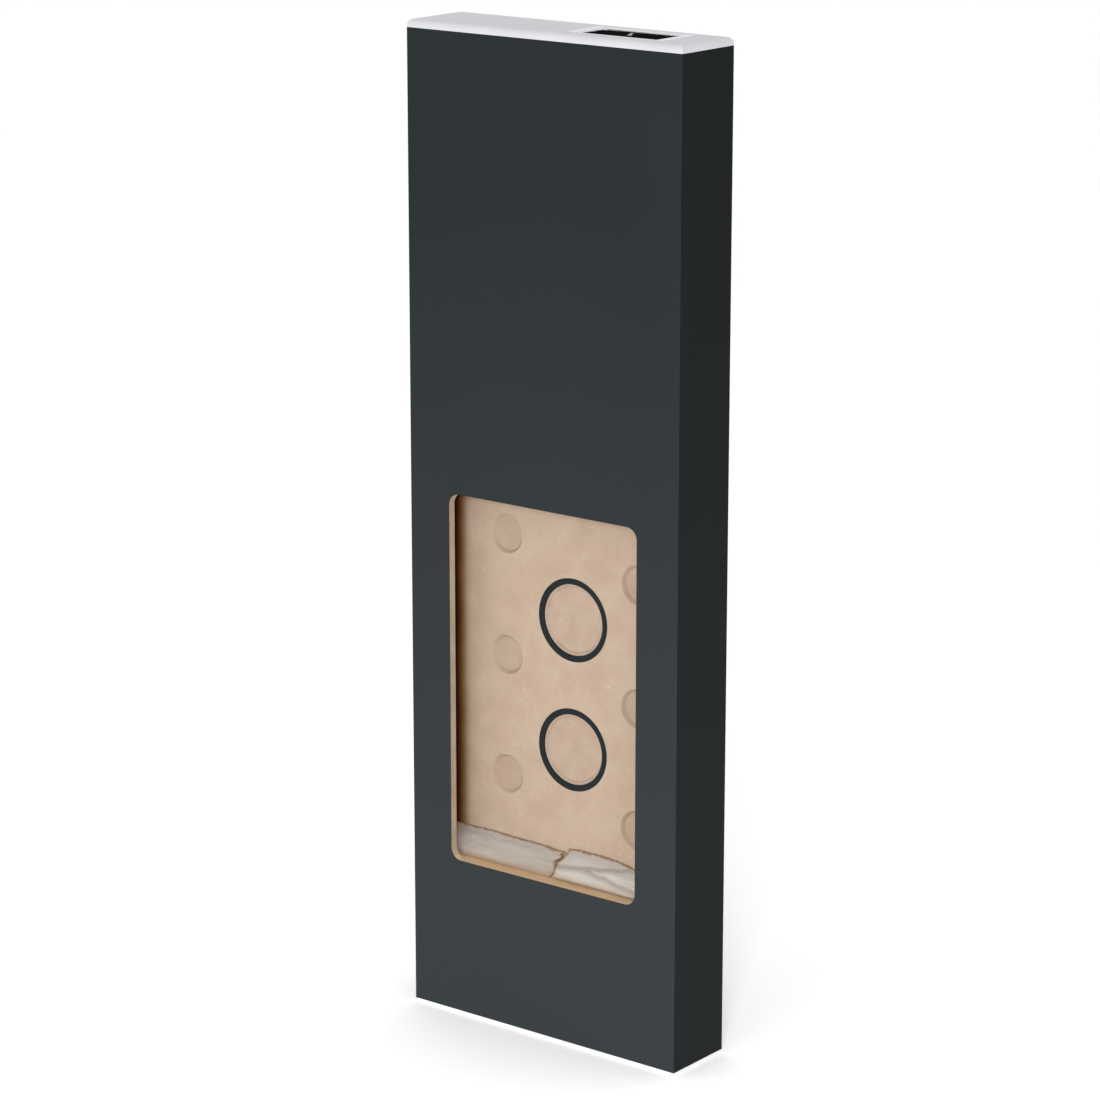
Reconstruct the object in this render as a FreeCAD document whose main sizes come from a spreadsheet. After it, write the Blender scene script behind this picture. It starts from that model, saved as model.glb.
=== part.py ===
import FreeCAD, Part
import math
import os
import re
import Sketcher

# A slim two-aspect pedestrian signal, in millimetres. X runs across the front, Y runs from the
# front (-Y) to the service door at the rear (+Y), and Z is up. The origin is the middle of the
# underside.

Vector = FreeCAD.Vector
Rotation = FreeCAD.Rotation
Constraint = Sketcher.Constraint

SIZES = [
    # case
    ("case_width", 326.0, "outside width of the case"),
    ("case_depth", 80.0, "outside depth of the case"),
    ("body_height", 988.0, "height of the front and side panels"),
    ("board", 8.0, "thickness of the front and side panels and the shelves"),
    ("fit_gap", 0.3, "clearance between pieces that drop into each other"),
    ("cap_rise", 8.0, "height of the top cap above the panels"),
    ("cap_round", 6.0, "radius round the top cap's upper edge"),
    ("base_rise", 4.0, "height of the base plate below the panels"),
    ("base_inset", 1.5, "set-in of the base plate from the panels"),
    ("spigot_wall", 3.0, "wall of the rims that locate the cap and the base"),
    ("cap_spigot", 12.0, "depth of the cap's locating rim"),
    ("base_spigot", 8.0, "height of the base's locating rim"),
    # window and the plate behind it
    ("window_width", 229.0, "width of the window"),
    ("window_height", 377.0, "height of the window"),
    ("window_sill", 160.3, "from the panels' lower edge to the window's sill"),
    ("window_round", 12.0, "corner radius of the window"),
    ("plate_setback", 34.0, "from the front face to the inner plate's face"),
    ("plate_thick", 10.0, "thickness of the inner plate"),
    ("plate_height", 400.0, "height of the inner plate above the sill"),
    ("shelf_gap", 0.5, "gap between the two shelves and the door's stops"),
    ("dimple_width", 40.0, "diameter of the plate's shallow round recesses"),
    ("dimple_deep", 3.5, "depth of the recesses"),
    ("dimple_slope", 38.0, "lean of a recess's wall, in degrees from the bore's axis"),
    ("dimple_pitch", 123.5, "height from one recess to the next"),
    ("dimple_left", 70.0, "left column of recesses, left of the middle"),
    ("dimple_left_top", 496.7, "its highest recess, above the panels' lower edge"),
    ("dimple_right", 91.5, "right column of recesses, right of the middle"),
    ("dimple_right_top", 470.7, "its highest recess, above the panels' lower edge"),
    ("pip_width", 2.5, "diameter of the centre mark in a recess"),
    ("pip_deep", 0.2, "depth of the centre mark"),
    # aspects
    ("aspect_across", 12.3, "aspects, right of the middle"),
    ("aspect_top", 422.5, "upper aspect, above the panels' lower edge"),
    ("aspect_pitch", 132.0, "height from the lower aspect to the upper one"),
    ("ring_width", 84.0, "outside diameter of the sealing ring"),
    ("ring_band", 6.0, "width of the ring's band"),
    ("ring_deep", 2.0, "thickness of the ring"),
    ("disc_drop", 1.5, "set-back of the diffuser disc from the plate's face"),
    ("disc_thick", 4.0, "thickness of the diffuser disc"),
    ("disc_rim", 2.0, "width of the disc's flat rim"),
    ("disc_dish", 1.6, "depth of the dish inside the rim"),
    ("cup_flange", 100.0, "diameter of the LED cup's flange"),
    ("cup_wall", 3.0, "wall of the LED cup"),
    ("sink_gap", 5.0, "gap between the heat sink's fins and the door"),
    ("flange_thick", 2.0, "thickness of the LED cup's flange"),
    ("cup_screw_circle", 92.0, "circle of the cup's screws"),
    ("sink_thick", 2.0, "thickness of the heat sink's disc"),
    ("sink_spigot", 2.0, "part of the heat sink inside the cup"),
    ("fin_height", 3.0, "height of the heat sink's fins"),
    ("fin_thick", 2.0, "thickness of a fin"),
    ("fin_pitch", 12.0, "distance from fin to fin"),
    ("circuit_width", 72.0, "diameter of the LED board"),
    ("circuit_thick", 1.6, "thickness of the LED board"),
    ("emitter_width", 5.0, "diameter of one LED"),
    ("emitter_high", 2.4, "height of one LED"),
    # wadding strip on the sill
    ("wadding_deep", 20.0, "depth of the wadding strip"),
    ("wadding_high", 28.0, "height of the wadding strip"),
    ("wadding_split", 7.0, "split between its two lengths, right of the middle"),
    ("split_gap", 1.5, "gap at the split"),
    ("wadding_round", 5.0, "rounding of the strip's long edges"),
    # battens, blocks and the stops at the rear opening
    ("batten_wide", 20.0, "width of the battens and of the glue blocks"),
    ("batten_gap", 3.0, "gap between the battens and the door's stops"),
    ("block_gap", 10.0, "gap between the front panel and the glue blocks"),
    ("block_high", 20.0, "height of the glue blocks"),
    ("block_screw", 12.0, "screws in a glue block, in from the side panel"),
    ("block_screw_pitch", 20.0, "distance between the two screws of a block"),
    ("strip_wide", 18.0, "width of the strip that the door shuts against"),
    ("strip_thick", 2.0, "thickness of the strip"),
    ("bead_wide", 8.0, "width of the bead that carries the strip"),
    ("bead_deep", 6.0, "depth of the bead"),
    ("seal_thick", 1.7, "thickness of the door seal"),
    ("seal_band", 10.0, "width of the door seal"),
    ("seal_inset", 3.0, "from the side panel to the door seal"),
    # service door
    ("door_gap", 0.5, "gap beside the door"),
    ("door_end_gap", 1.0, "gap above and below the door"),
    ("pivot_pin", 3.0, "diameter of the door's pivot pins"),
    ("pivot_length", 12.0, "length of pin and bush inside the door"),
    ("pin_root", 3.0, "length of pin in the cap and in the base"),
    ("bush_wall", 1.0, "wall of the door's bushes"),
    ("running_gap", 0.05, "radial clearance of a pin in its bush"),
    # quarter-turn locks
    ("lock_gap", 2.0, "gap between the lock's nut and the strip"),
    ("lock_low", 300.0, "height of the lower lock"),
    ("lock_pitch", 400.0, "height from the lower lock to the upper one"),
    ("lock_flange", 24.0, "diameter of the lock's flange"),
    ("lock_flange_thick", 2.0, "thickness of the lock's flange"),
    ("lock_barrel", 20.0, "diameter of the lock's barrel"),
    ("lock_behind", 4.0, "barrel behind the door's inner face"),
    ("plug_width", 12.0, "diameter of the turning plug"),
    ("plug_gap", 0.1, "radial clearance of the plug"),
    ("plug_sink", 0.5, "set-back of the plug from the flange"),
    ("key_side", 7.0, "side of the square key pocket"),
    ("key_deep", 5.0, "depth of the key pocket"),
    ("nut_flats", 26.0, "across the flats of the lock's nut"),
    ("nut_thick", 3.0, "thickness of the lock's nut"),
    ("cam_thick", 3.0, "thickness of the cam"),
    ("cam_wide", 12.0, "width of the cam"),
    ("cam_grip", 8.0, "grip of the turned cam behind the strip"),
    ("cam_square", 7.0, "square of the plug that drives the cam"),
    ("cam_clear", 1.0, "gap between the turned cam and the strip"),
    # hatch in the top cap
    ("brim_wide", 3.0, "overlap of the hatch frame's flange at its two ends"),
    ("brim_deep", 2.0, "overlap of the flange at its front and its rear"),
    ("hatch_flange", 2.0, "thickness of the flange, let into the cap"),
    ("hatch_seam", 0.6, "seam round the flange"),
    ("hatch_lip", 1.5, "chamfer down to the flap"),
    ("collar_gap", 2.0, "gap between the hatch frame's collar and the cap's rim"),
    ("collar_end", 8.0, "wall of the collar at its two ends, where the pin is held"),
    ("collar_wall", 3.0, "wall of the collar at its front and its rear"),
    ("collar_drop", 14.0, "depth of the collar below the cap's top"),
    ("flap_width", 92.0, "width of the hatch opening"),
    ("flap_thick", 4.0, "thickness of the flap"),
    ("flap_sink", 2.0, "set-back of the flap from the cap's top"),
    ("flap_gap", 0.5, "gap round the flap"),
    ("flap_hinge_gap", 0.8, "gap behind the flap's rounded edge"),
    ("flap_pin", 2.0, "diameter of the flap's pin"),
    ("flap_pin_root", 6.0, "length of pin in the frame at each end"),
    ("ledge", 5.0, "width of the ledge that the flap's seal lies on"),
    ("flap_seal", 1.0, "thickness of the flap's seal"),
    ("tab_wide", 10.0, "width of the flap's finger tab"),
    ("tab_thick", 3.0, "thickness of the finger tab"),
    ("tab_across", 5.0, "finger tab, right of the hatch's middle"),
    ("tab_back", 10.0, "finger tab, behind the flap's front edge"),
    ("tab_rise", 1.5, "height of the finger tab above the cap"),
    ("tab_crest", 1.5, "width of the tab's upper edge"),
    # cable well under the hatch
    ("sheet", 1.5, "sheet thickness of the cable well"),
    ("well_high", 52.0, "height of the cable well"),
    ("well_gap", 0.3, "clearance of the well round the hatch collar"),
    ("well_side", 5.2, "gap between the well and the right-hand glue block"),
    ("well_tab", 9.0, "width of the well's fixing tabs"),
    ("gland_hole", 12.0, "hole for a cable gland"),
    ("gland_width", 18.0, "diameter of a cable gland"),
    ("gland_high", 8.0, "height of a gland above and below the floor"),
    ("gland_spread", 30.0, "glands, left and right of the hatch's middle"),
    ("terminal_wide", 5.2, "width of one terminal"),
    ("terminal_deep", 26.0, "depth of a terminal"),
    ("terminal_high", 22.0, "height of a terminal"),
    # electronics
    ("rail_above", 3.85, "mounting rail, above the middle of the room for the driver"),
    ("rail_wide", 35.0, "width of the mounting rail"),
    ("rail_hat", 25.0, "width of the rail's raised web"),
    ("rail_deep", 7.5, "depth of the mounting rail"),
    ("rail_sheet", 1.0, "sheet thickness of the rail"),
    ("rail_block", 9.5, "depth of the blocks that carry the rail"),
    ("driver_width", 100.0, "width of the LED driver"),
    ("driver_height", 90.0, "height of the LED driver"),
    ("driver_depth", 34.0, "depth of the LED driver"),
    ("lead_width", 6.0, "diameter of the inside leads"),
    ("lead_hole", 10.0, "hole for a lead in the upper shelf"),
    ("lead_set", 8.0, "leads, behind the inner plate"),
    # base
    ("cable_hole", 30.0, "hole for the supply cable in the base plate"),
    ("grommet_bore", 22.0, "bore of the grommet in that hole"),
    ("anchor_hole", 11.0, "diameter of the anchor holes"),
    ("anchor_wide", 220.0, "anchor holes, side to side"),
    ("anchor_deep", 30.0, "anchor holes, front to rear"),
    ("screw_width", 4.0, "diameter of the wood screws"),
    ("screw_head", 8.0, "diameter of a wood screw's head"),
    ("screw_head_high", 2.4, "height of a wood screw's head"),
    ("screw_bite", 5.0, "grip of a screw in the cap"),
    ("small_screw", 3.0, "diameter of the machine screws"),
    ("small_head", 5.5, "diameter of a machine screw's head"),
    ("small_head_high", 1.6, "height of a machine screw's head"),
]

# Places that follow from the sizes, each written once.
PLACES = {
    "case_side": "case_width / 2",
    "side_inside": "case_width / 2 - board",
    "front_face": "-case_depth / 2",
    "front_inside": "-case_depth / 2 + board",
    "rear_face": "case_depth / 2",
    "door_inside": "case_depth / 2 - board",
    "panel_foot": "base_rise",
    "panel_head": "base_rise + body_height",
    "cap_top": "base_rise + body_height + cap_rise",
    "stop_face": "door_inside - fit_gap - seal_thick",
    "bead_face": "stop_face - strip_thick - bead_deep",
    "rim_foot": "base_rise + base_spigot",
    "rim_head": "panel_head - cap_spigot",
    "rim_side": "side_inside - fit_gap",
    "rim_front": "front_inside + fit_gap",
    "rim_middle": "(rim_front + stop_face) / 2",
    "rim_depth": "stop_face - rim_front",
    "sill": "base_rise + window_sill",
    "plate_face": "front_face + plate_setback",
    "plate_back": "front_face + plate_setback + plate_thick",
    "plate_head": "sill + plate_height",
    "shelf_head": "plate_head + board",
    "batten_deep": "bead_face - batten_gap - plate_back",
    "block_front": "front_inside + block_gap",
    "block_middle": "(block_front + bead_face) / 2",
    "aspect_upper": "base_rise + aspect_top",
    "aspect_lower": "base_rise + aspect_top - aspect_pitch",
    "lens_width": "ring_width - 2 * ring_band",
    "disc_face": "plate_face + disc_drop",
    "disc_back": "plate_face + disc_drop + disc_thick",
    "cup_back": "door_inside - sink_gap - fin_height - sink_thick",
    "cup_deep": "cup_back - plate_back",
    "lead_plane": "plate_back + lead_set",
    "circuit_back": "cup_back - sink_spigot",
    "circuit_face": "circuit_back - circuit_thick",
    "pivot_across": "side_inside - door_gap - board / 2",
    "pivot_back": "rear_face - board / 2",
    "door_foot": "panel_foot + door_end_gap",
    "door_head": "panel_head - door_end_gap",
    "lock_across": "side_inside - strip_wide - lock_gap - nut_flats / 2",
    "cam_reach": "nut_flats / 2 + lock_gap + cam_grip",
    "cam_back": "stop_face - strip_thick - cam_clear",
    "barrel_end": "door_inside - lock_behind",
    "collar_width": "flap_width + 2 * collar_end",
    "collar_depth": "2 * (stop_face - spigot_wall - collar_gap)",
    "hatch_width": "collar_width + 2 * brim_wide",
    "hatch_depth": "collar_depth + 2 * brim_deep",
    "hatch_across": "side_inside - batten_wide - well_side - well_width / 2",
    "flap_depth": "collar_depth - 2 * collar_wall",
    "ledge_width": "flap_width - 2 * ledge",
    "ledge_depth": "flap_depth - 2 * ledge",
    "flap_top": "cap_top - flap_sink",
    "flap_foot": "cap_top - flap_sink - flap_thick",
    "flap_axis_back": "flap_depth / 2 - flap_hinge_gap - flap_thick / 2",
    "flap_axis_high": "cap_top - flap_sink - flap_thick / 2",
    "seal_top": "flap_foot - fit_gap",
    "well_width": "collar_width + 2 * well_gap + 2 * sheet",
    "well_depth": "collar_depth + 2 * well_gap + 2 * sheet",
    "well_floor": "panel_head - well_high",
    "rail_back": "front_inside + rail_block + rail_deep",
    "rail_height": "(shelf_head + well_floor) / 2 + rail_above",
    "driver_foot": "rail_height - driver_height / 2",
    "driver_head": "rail_height + driver_height / 2",
    "screw_across": "side_inside - block_screw",
}

doc = FreeCAD.newDocument("pedestrian_signal")
sheet = doc.addObject("Spreadsheet::Sheet", "sizes")
for row, (alias, amount, meaning) in enumerate(SIZES, 1):
    sheet.set(f"A{row}", alias)
    sheet.set(f"B{row}", str(amount))
    sheet.set(f"C{row}", meaning)
    sheet.setAlias(f"B{row}", alias)
doc.recompute()

ALIASES = {alias for alias, amount, meaning in SIZES}
nodes = {}


# ---------------------------------------------------------------- expressions
def spelled(text):
    """The expression with each place spelled out and each size named in the sheet."""

    def one(match):
        word = match.group(0)
        if word in PLACES:
            return "(" + spelled(PLACES[word]) + ")"
        return "sizes." + word if word in ALIASES else word

    return re.sub(r"[a-z_]+", one, text)


def bind(thing, prop, text):
    thing.setExpression(prop, spelled(text))


def size(alias):
    return float(sheet.get(alias))


gauge = doc.addObject("App::FeaturePython", "gauge")
gauge.addProperty("App::PropertyFloat", "reading")


def measure(text):
    """The value of a place or an expression, read back from the document."""
    bind(gauge, "reading", text)
    gauge.recompute()
    return gauge.reading


# ---------------------------------------------------------------- Part pieces
def named(kind, label):
    thing = doc.addObject(kind, label)
    thing.Label = label
    return thing


def put(thing, at, turn=None):
    if turn is not None:
        thing.Placement = FreeCAD.Placement(Vector(), turn)
    for axis, text in zip("xyz", at):
        bind(thing, f"Placement.Base.{axis}", text)
    return thing


def block(label, low, length):
    """A box from its lowest corner."""
    box = named("Part::Box", label)
    for prop, text in zip(("Length", "Width", "Height"), length):
        bind(box, prop, text)
    return put(box, low)


def span(label, low, high):
    """A box between two corners."""
    return block(label, low, [f"({b}) - ({a})" for a, b in zip(low, high)])


TURNS = {
    "+z": None,
    "-z": Rotation(Vector(1, 0, 0), 180),
    "+y": Rotation(Vector(1, 0, 0), -90),
    "-y": Rotation(Vector(1, 0, 0), 90),
    "+x": Rotation(Vector(0, 1, 0), 90),
    "-x": Rotation(Vector(0, 1, 0), -90),
}


def rod(label, at, width, length, way="+z"):
    """A cylinder of a diameter and a length, from its first end."""
    cylinder = named("Part::Cylinder", label)
    bind(cylinder, "Radius", f"({width}) / 2")
    bind(cylinder, "Height", length)
    return put(cylinder, at, TURNS[way])


def taper(label, at, width, end_width, length, way="+z"):
    cone = named("Part::Cone", label)
    bind(cone, "Radius1", f"({width}) / 2")
    bind(cone, "Radius2", f"({end_width}) / 2")
    bind(cone, "Height", length)
    return put(cone, at, TURNS[way])


def join(label, *things):
    fused = named("Part::MultiFuse", label)
    fused.Shapes = list(things)
    fused.Refine = True
    return fused


def group(label, things):
    held = named("Part::Compound", label)
    held.Links = list(things)
    return held


def cut(label, base, *tools):
    tool = tools[0] if len(tools) == 1 else join(label + "_tools", *tools)
    difference = named("Part::Cut", label)
    difference.Base = base
    difference.Tool = tool
    return difference


def tube(label, at, outer, inner, length, way="+z"):
    return cut(
        label,
        rod(label + "_outside", at, outer, length, way),
        rod(label + "_bore", at, inner, length, way),
    )


def along(at, way, text):
    """A point moved by an amount along one of the six ways."""
    axis = "xyz".index(way[1])
    moved = list(at)
    moved[axis] = f"({at[axis]}) {way[0]} ({text})"
    return moved


def wood_screw(label, at, length, way):
    """A countersunk screw: its flat head is at the given point, and it runs the given way."""
    head = taper(label + "_head", at, "screw_head", "screw_width", "screw_head_high", way)
    shank = rod(label + "_shank", at, "screw_width", length, way)
    return join(label, head, shank)


def pan_screw(label, at, length, way, back):
    """A machine screw whose head stands on the given face, with its shank running the given way."""
    head = rod(label + "_head", at, "small_head", "small_head_high", back)
    shank = rod(label + "_shank", at, "small_screw", length, way)
    return join(label, head, shank)


def keep(label, thing):
    """Makes this object the sub-part that is written under the given name."""
    thing.Label = label
    nodes[label] = thing
    return thing


# ---------------------------------------------------------------- PartDesign pieces
def new_body(label):
    return named("PartDesign::Body", label)


def flat_sketch(body, plane, name, offset):
    sketch = body.newObject("Sketcher::SketchObject", f"{body.Name}_{name}")
    support = next(f for f in body.Origin.OriginFeatures if f.Role == plane)
    sketch.AttachmentSupport = [(support, "")]
    sketch.MapMode = "FlatFace"
    for axis, text in zip("xyz", offset):
        bind(sketch, f"AttachmentOffset.Base.{axis}", text)
    return sketch


def dimension(sketch, name, constraint, text):
    index = sketch.addConstraint(constraint)
    sketch.renameConstraint(index, name)
    bind(sketch, f"Constraints.{name}", text)


def oblong(sketch, width, height, tag=""):
    """A rectangle about the sketch's origin."""
    first = sketch.GeometryCount
    wide, high = measure(width), measure(height)
    corners = [(-1, -1), (1, -1), (1, 1), (-1, 1)]
    points = [Vector(x * wide / 2, y * high / 2, 0) for x, y in corners]
    for start, end in zip(points, points[1:] + points[:1]):
        sketch.addGeometry(Part.LineSegment(start, end), False)
    for k in range(4):
        sketch.addConstraint(Constraint("Coincident", first + k, 2, first + (k + 1) % 4, 1))
    for k in (0, 2):
        sketch.addConstraint(Constraint("Horizontal", first + k))
    for k in (1, 3):
        sketch.addConstraint(Constraint("Vertical", first + k))
    sketch.addConstraint(Constraint("Symmetric", first, 1, first + 1, 2, -1, 1))
    dimension(sketch, "width" + tag, Constraint("DistanceX", first, 1, first, 2, wide), width)
    dimension(
        sketch, "height" + tag, Constraint("DistanceY", first + 1, 1, first + 1, 2, high), height
    )


def circle(sketch, width, tag=""):
    """A circle about the sketch's origin, given by its diameter."""
    index = sketch.addGeometry(
        Part.Circle(Vector(0, 0, 0), Vector(0, 0, 1), measure(width) / 2), False
    )
    sketch.addConstraint(Constraint("Coincident", index, 3, -1, 1))
    dimension(sketch, "width" + tag, Constraint("Diameter", index, measure(width)), width)


def outline(sketch, corners):
    """A closed outline whose corners are pairs of expressions."""
    points = [Vector(measure(x), measure(y), 0) for x, y in corners]
    for start, end in zip(points, points[1:] + points[:1]):
        sketch.addGeometry(Part.LineSegment(start, end), False)
    for k, (x, y) in enumerate(corners):
        sketch.addConstraint(Constraint("Coincident", k, 2, (k + 1) % len(corners), 1))
        for axis, text, place in (("X", x, points[k].x), ("Y", y, points[k].y)):
            rule = Constraint("Distance" + axis, -1, 1, k, 1, place)
            dimension(sketch, f"corner{k}{axis.lower()}", rule, text)


def pad(body, sketch, length, back=False):
    feature = body.newObject("PartDesign::Pad", sketch.Name + "_pad")
    feature.Profile = sketch
    bind(feature, "Length", length)
    feature.Reversed = back
    doc.recompute()
    return feature


def pocket(body, sketch, length, back=False, lean=None):
    """Cuts the sketch out of the body, and stops the build if nothing was cut."""
    before = body.Shape.Volume
    feature = body.newObject("PartDesign::Pocket", sketch.Name + "_pocket")
    feature.Profile = sketch
    bind(feature, "Length", length)
    feature.Reversed = back
    if lean is not None:
        bind(feature, "TaperAngle", lean)
    doc.recompute()
    if not body.Shape.Volume < before - 0.01:
        raise RuntimeError(f"{sketch.Name} cuts nothing")
    return feature


def rounded(body, feature, radius, chosen):
    """Rounds the feature's edges for which chosen(edge) is true."""
    names = [f"Edge{k}" for k, edge in enumerate(feature.Shape.Edges, 1) if chosen(edge)]
    fillet = body.newObject("PartDesign::Fillet", feature.Name + "_round")
    fillet.Base = (feature, names)
    bind(fillet, "Radius", radius)
    doc.recompute()
    return fillet


def repeated(body, feature, direction, pitch, count):
    """Repeats a feature in a row, away from itself."""
    pattern = body.newObject("PartDesign::LinearPattern", feature.Name + "_row")
    pattern.Originals = [feature]
    pattern.Direction = direction
    bind(pattern, "Length", f"({pitch}) * {count - 1}")
    pattern.Occurrences = count
    body.Tip = pattern
    doc.recompute()
    return pattern


def runs_along(edge, axis):
    """True for a straight edge that runs along the given axis."""
    if not isinstance(edge.Curve, Part.Line):
        return False
    return abs(abs(edge.Curve.Direction.dot(axis)) - 1) < 1e-6


# ---------------------------------------------------------------- the case's panels
def front_panel():
    """A flat board with mitred sides and one round-cornered window."""
    body = new_body("front_panel")
    plan = flat_sketch(body, "XY_Plane", "plan", ("0", "0", "panel_foot"))
    outline(
        plan,
        [
            ("-case_side", "front_face"),
            ("case_side", "front_face"),
            ("side_inside", "front_inside"),
            ("-side_inside", "front_inside"),
        ],
    )
    pad(body, plan, "body_height")
    window = flat_sketch(
        body, "XZ_Plane", "window", ("0", "sill + window_height / 2", "-front_face")
    )
    oblong(window, "window_width", "window_height")
    opening = pocket(body, window, "board")
    edge_of_window = measure("window_width / 2")
    rounded(
        body,
        opening,
        "window_round",
        lambda edge: runs_along(edge, Vector(0, 1, 0))
        and abs(abs(edge.CenterOfMass.x) - edge_of_window) < 0.01,
    )
    return keep("front_panel", body)


def side_panel(label, side):
    """A side board, mitred to the front panel; side is "" for the right and "-" for the left."""
    body = new_body(label)
    plan = flat_sketch(body, "XY_Plane", "plan", ("0", "0", "panel_foot"))
    outline(
        plan,
        [
            (side + "case_side", "front_face"),
            (side + "case_side", "rear_face"),
            (side + "side_inside", "rear_face"),
            (side + "side_inside", "front_inside"),
        ],
    )
    pad(body, plan, "body_height")
    return body


# ---------------------------------------------------------------- cap and base
def rim(body, height, length, back):
    """The locating rim that fits inside the panels."""
    sketch = flat_sketch(body, "XY_Plane", "rim", ("0", "rim_middle", height))
    oblong(sketch, "2 * rim_side", "rim_depth", "_outside")
    oblong(
        sketch, "2 * rim_side - 2 * spigot_wall", "rim_depth - 2 * spigot_wall", "_inside"
    )
    pad(body, sketch, length, back)


def pin_hole(body, height, back):
    """The blind hole that holds one of the door's pivot pins."""
    hole = flat_sketch(body, "XY_Plane", "pin_hole", ("-pivot_across", "pivot_back", height))
    circle(hole, "pivot_pin")
    pocket(body, hole, "pin_root", back)


def top_cap():
    """A plain cap with a soft upper edge, a rim below and a rebated opening for the hatch."""
    body = new_body("top_cap_blank")
    plan = flat_sketch(body, "XY_Plane", "plan", ("0", "0", "panel_head"))
    oblong(plan, "case_width", "case_depth")
    slab = pad(body, plan, "cap_rise")
    top = measure("cap_top")
    rounded(
        body,
        slab,
        "cap_round",
        lambda edge: abs(edge.CenterOfMass.z - top) < 0.01,
    )
    rim(body, "panel_head", "cap_spigot", True)
    rebate = flat_sketch(body, "XY_Plane", "rebate", ("hatch_across", "0", "cap_top"))
    oblong(rebate, "hatch_width + 2 * hatch_seam", "hatch_depth + 2 * hatch_seam")
    pocket(body, rebate, "hatch_flange")
    opening = flat_sketch(body, "XY_Plane", "opening", ("hatch_across", "0", "cap_top"))
    oblong(opening, "collar_width", "collar_depth")
    pocket(body, opening, "cap_rise")
    pin_hole(body, "panel_head", True)
    return body


def base_plate():
    """The plate that the signal stands on, with a rim above, four anchor holes and a cable hole."""
    body = new_body("base_plate_blank")
    plan = flat_sketch(body, "XY_Plane", "plan", ("0", "0", "0"))
    oblong(plan, "case_width - 2 * base_inset", "case_depth - 2 * base_inset")
    pad(body, plan, "base_rise")
    rim(body, "panel_foot", "base_spigot", False)
    cable = flat_sketch(body, "XY_Plane", "cable", ("0", "0", "base_rise"))
    circle(cable, "cable_hole")
    pocket(body, cable, "base_rise")
    pin_hole(body, "base_rise", False)
    anchor = flat_sketch(
        body, "XY_Plane", "anchor", ("-anchor_wide / 2", "-anchor_deep / 2", "base_rise")
    )
    circle(anchor, "anchor_hole")
    hole = pocket(body, anchor, "base_rise")
    across = body.newObject("PartDesign::LinearPattern", "anchors_across")
    across.Direction = (anchor, ["H_Axis"])
    bind(across, "Length", "anchor_wide")
    across.Occurrences = 2
    deep = body.newObject("PartDesign::LinearPattern", "anchors_deep")
    deep.Direction = (anchor, ["V_Axis"])
    bind(deep, "Length", "anchor_deep")
    deep.Occurrences = 2
    both = body.newObject("PartDesign::MultiTransform", "anchors")
    both.Originals = [hole]
    both.Transformations = [across, deep]
    body.Tip = both
    doc.recompute()
    return body


def glue_blocks(label, foot):
    """Two blocks that join the side panels to the cap or the base."""
    blocks = []
    for side, low, high in (
        ("left", "-side_inside", "-side_inside + batten_wide"),
        ("right", "side_inside - batten_wide", "side_inside"),
    ):
        blocks.append(
            span(
                f"{label}_{side}",
                (low, "block_front", foot),
                (high, "bead_face", f"({foot}) + block_high"),
            )
        )
    return group(label + "_blanks", blocks)


def block_screws(label, height, length, way):
    """Two screws in each glue block."""
    made = []
    for k, across in enumerate(("-screw_across", "screw_across")):
        for n, way_back in enumerate("-+"):
            back = f"block_middle {way_back} block_screw_pitch / 2"
            made.append(wood_screw(f"{label}_{k}{n}", (across, back, height), length, way))
    return keep(label, group(label, made))


# ---------------------------------------------------------------- inner plate and shelves
def inner_plate():
    """The beige board behind the window: two aspects and two columns of shallow round recesses."""
    body = new_body("inner_plate_blank")
    face = flat_sketch(
        body, "XZ_Plane", "face", ("0", "(sill + plate_head) / 2", "-plate_face")
    )
    oblong(face, "2 * side_inside", "plate_height")
    pad(body, face, "plate_thick", True)
    for aspect in ("upper", "lower"):
        centre = ("aspect_across", f"aspect_{aspect}", "-plate_face")
        seat = flat_sketch(body, "XZ_Plane", f"seat_{aspect}", centre)
        circle(seat, "ring_width")
        pocket(body, seat, "ring_deep")
        bore = flat_sketch(body, "XZ_Plane", f"bore_{aspect}", centre)
        circle(bore, "lens_width")
        pocket(body, bore, "plate_thick")
    for column, across in (("left", "-dimple_left"), ("right", "dimple_right")):
        low = f"base_rise + dimple_{column}_top - 2 * dimple_pitch"
        recess = flat_sketch(body, "XZ_Plane", f"dimple_{column}", (across, low, "-plate_face"))
        circle(recess, "dimple_width")
        dish = pocket(body, recess, "dimple_deep", lean="-dimple_slope")
        repeated(body, dish, (recess, ["V_Axis"]), "dimple_pitch", 3)
        mark = flat_sketch(body, "XZ_Plane", f"pip_{column}", (across, low, "-plate_face"))
        circle(mark, "pip_width")
        depth = "dimple_deep + pip_deep"
        repeated(body, pocket(body, mark, depth), (mark, ["V_Axis"]), "dimple_pitch", 3)
    return body


def shelf(label, foot):
    return span(
        label,
        ("-side_inside", "front_inside", foot),
        ("side_inside", "bead_face - shelf_gap", f"({foot}) + board"),
    )


def wadding(label, low, high):
    """A plain solid for one length of the soft strip that lies on the sill."""
    body = new_body(label)
    back = "plate_face - fit_gap"
    sketch = flat_sketch(
        body,
        "YZ_Plane",
        "section",
        (f"{back} - wadding_deep / 2", "sill + wadding_high / 2", low),
    )
    oblong(sketch, "wadding_deep", "wadding_high")
    strip = pad(body, sketch, f"({high}) - ({low})")
    top = measure("sill + wadding_high")
    rounded(
        body,
        strip,
        "wadding_round",
        lambda edge: runs_along(edge, Vector(1, 0, 0)) and edge.CenterOfMass.z > top - 0.01,
    )
    return keep(label, body)


# ---------------------------------------------------------------- aspects
def on_aspect(aspect, depth):
    return ("aspect_across", depth, f"aspect_{aspect}")


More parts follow.
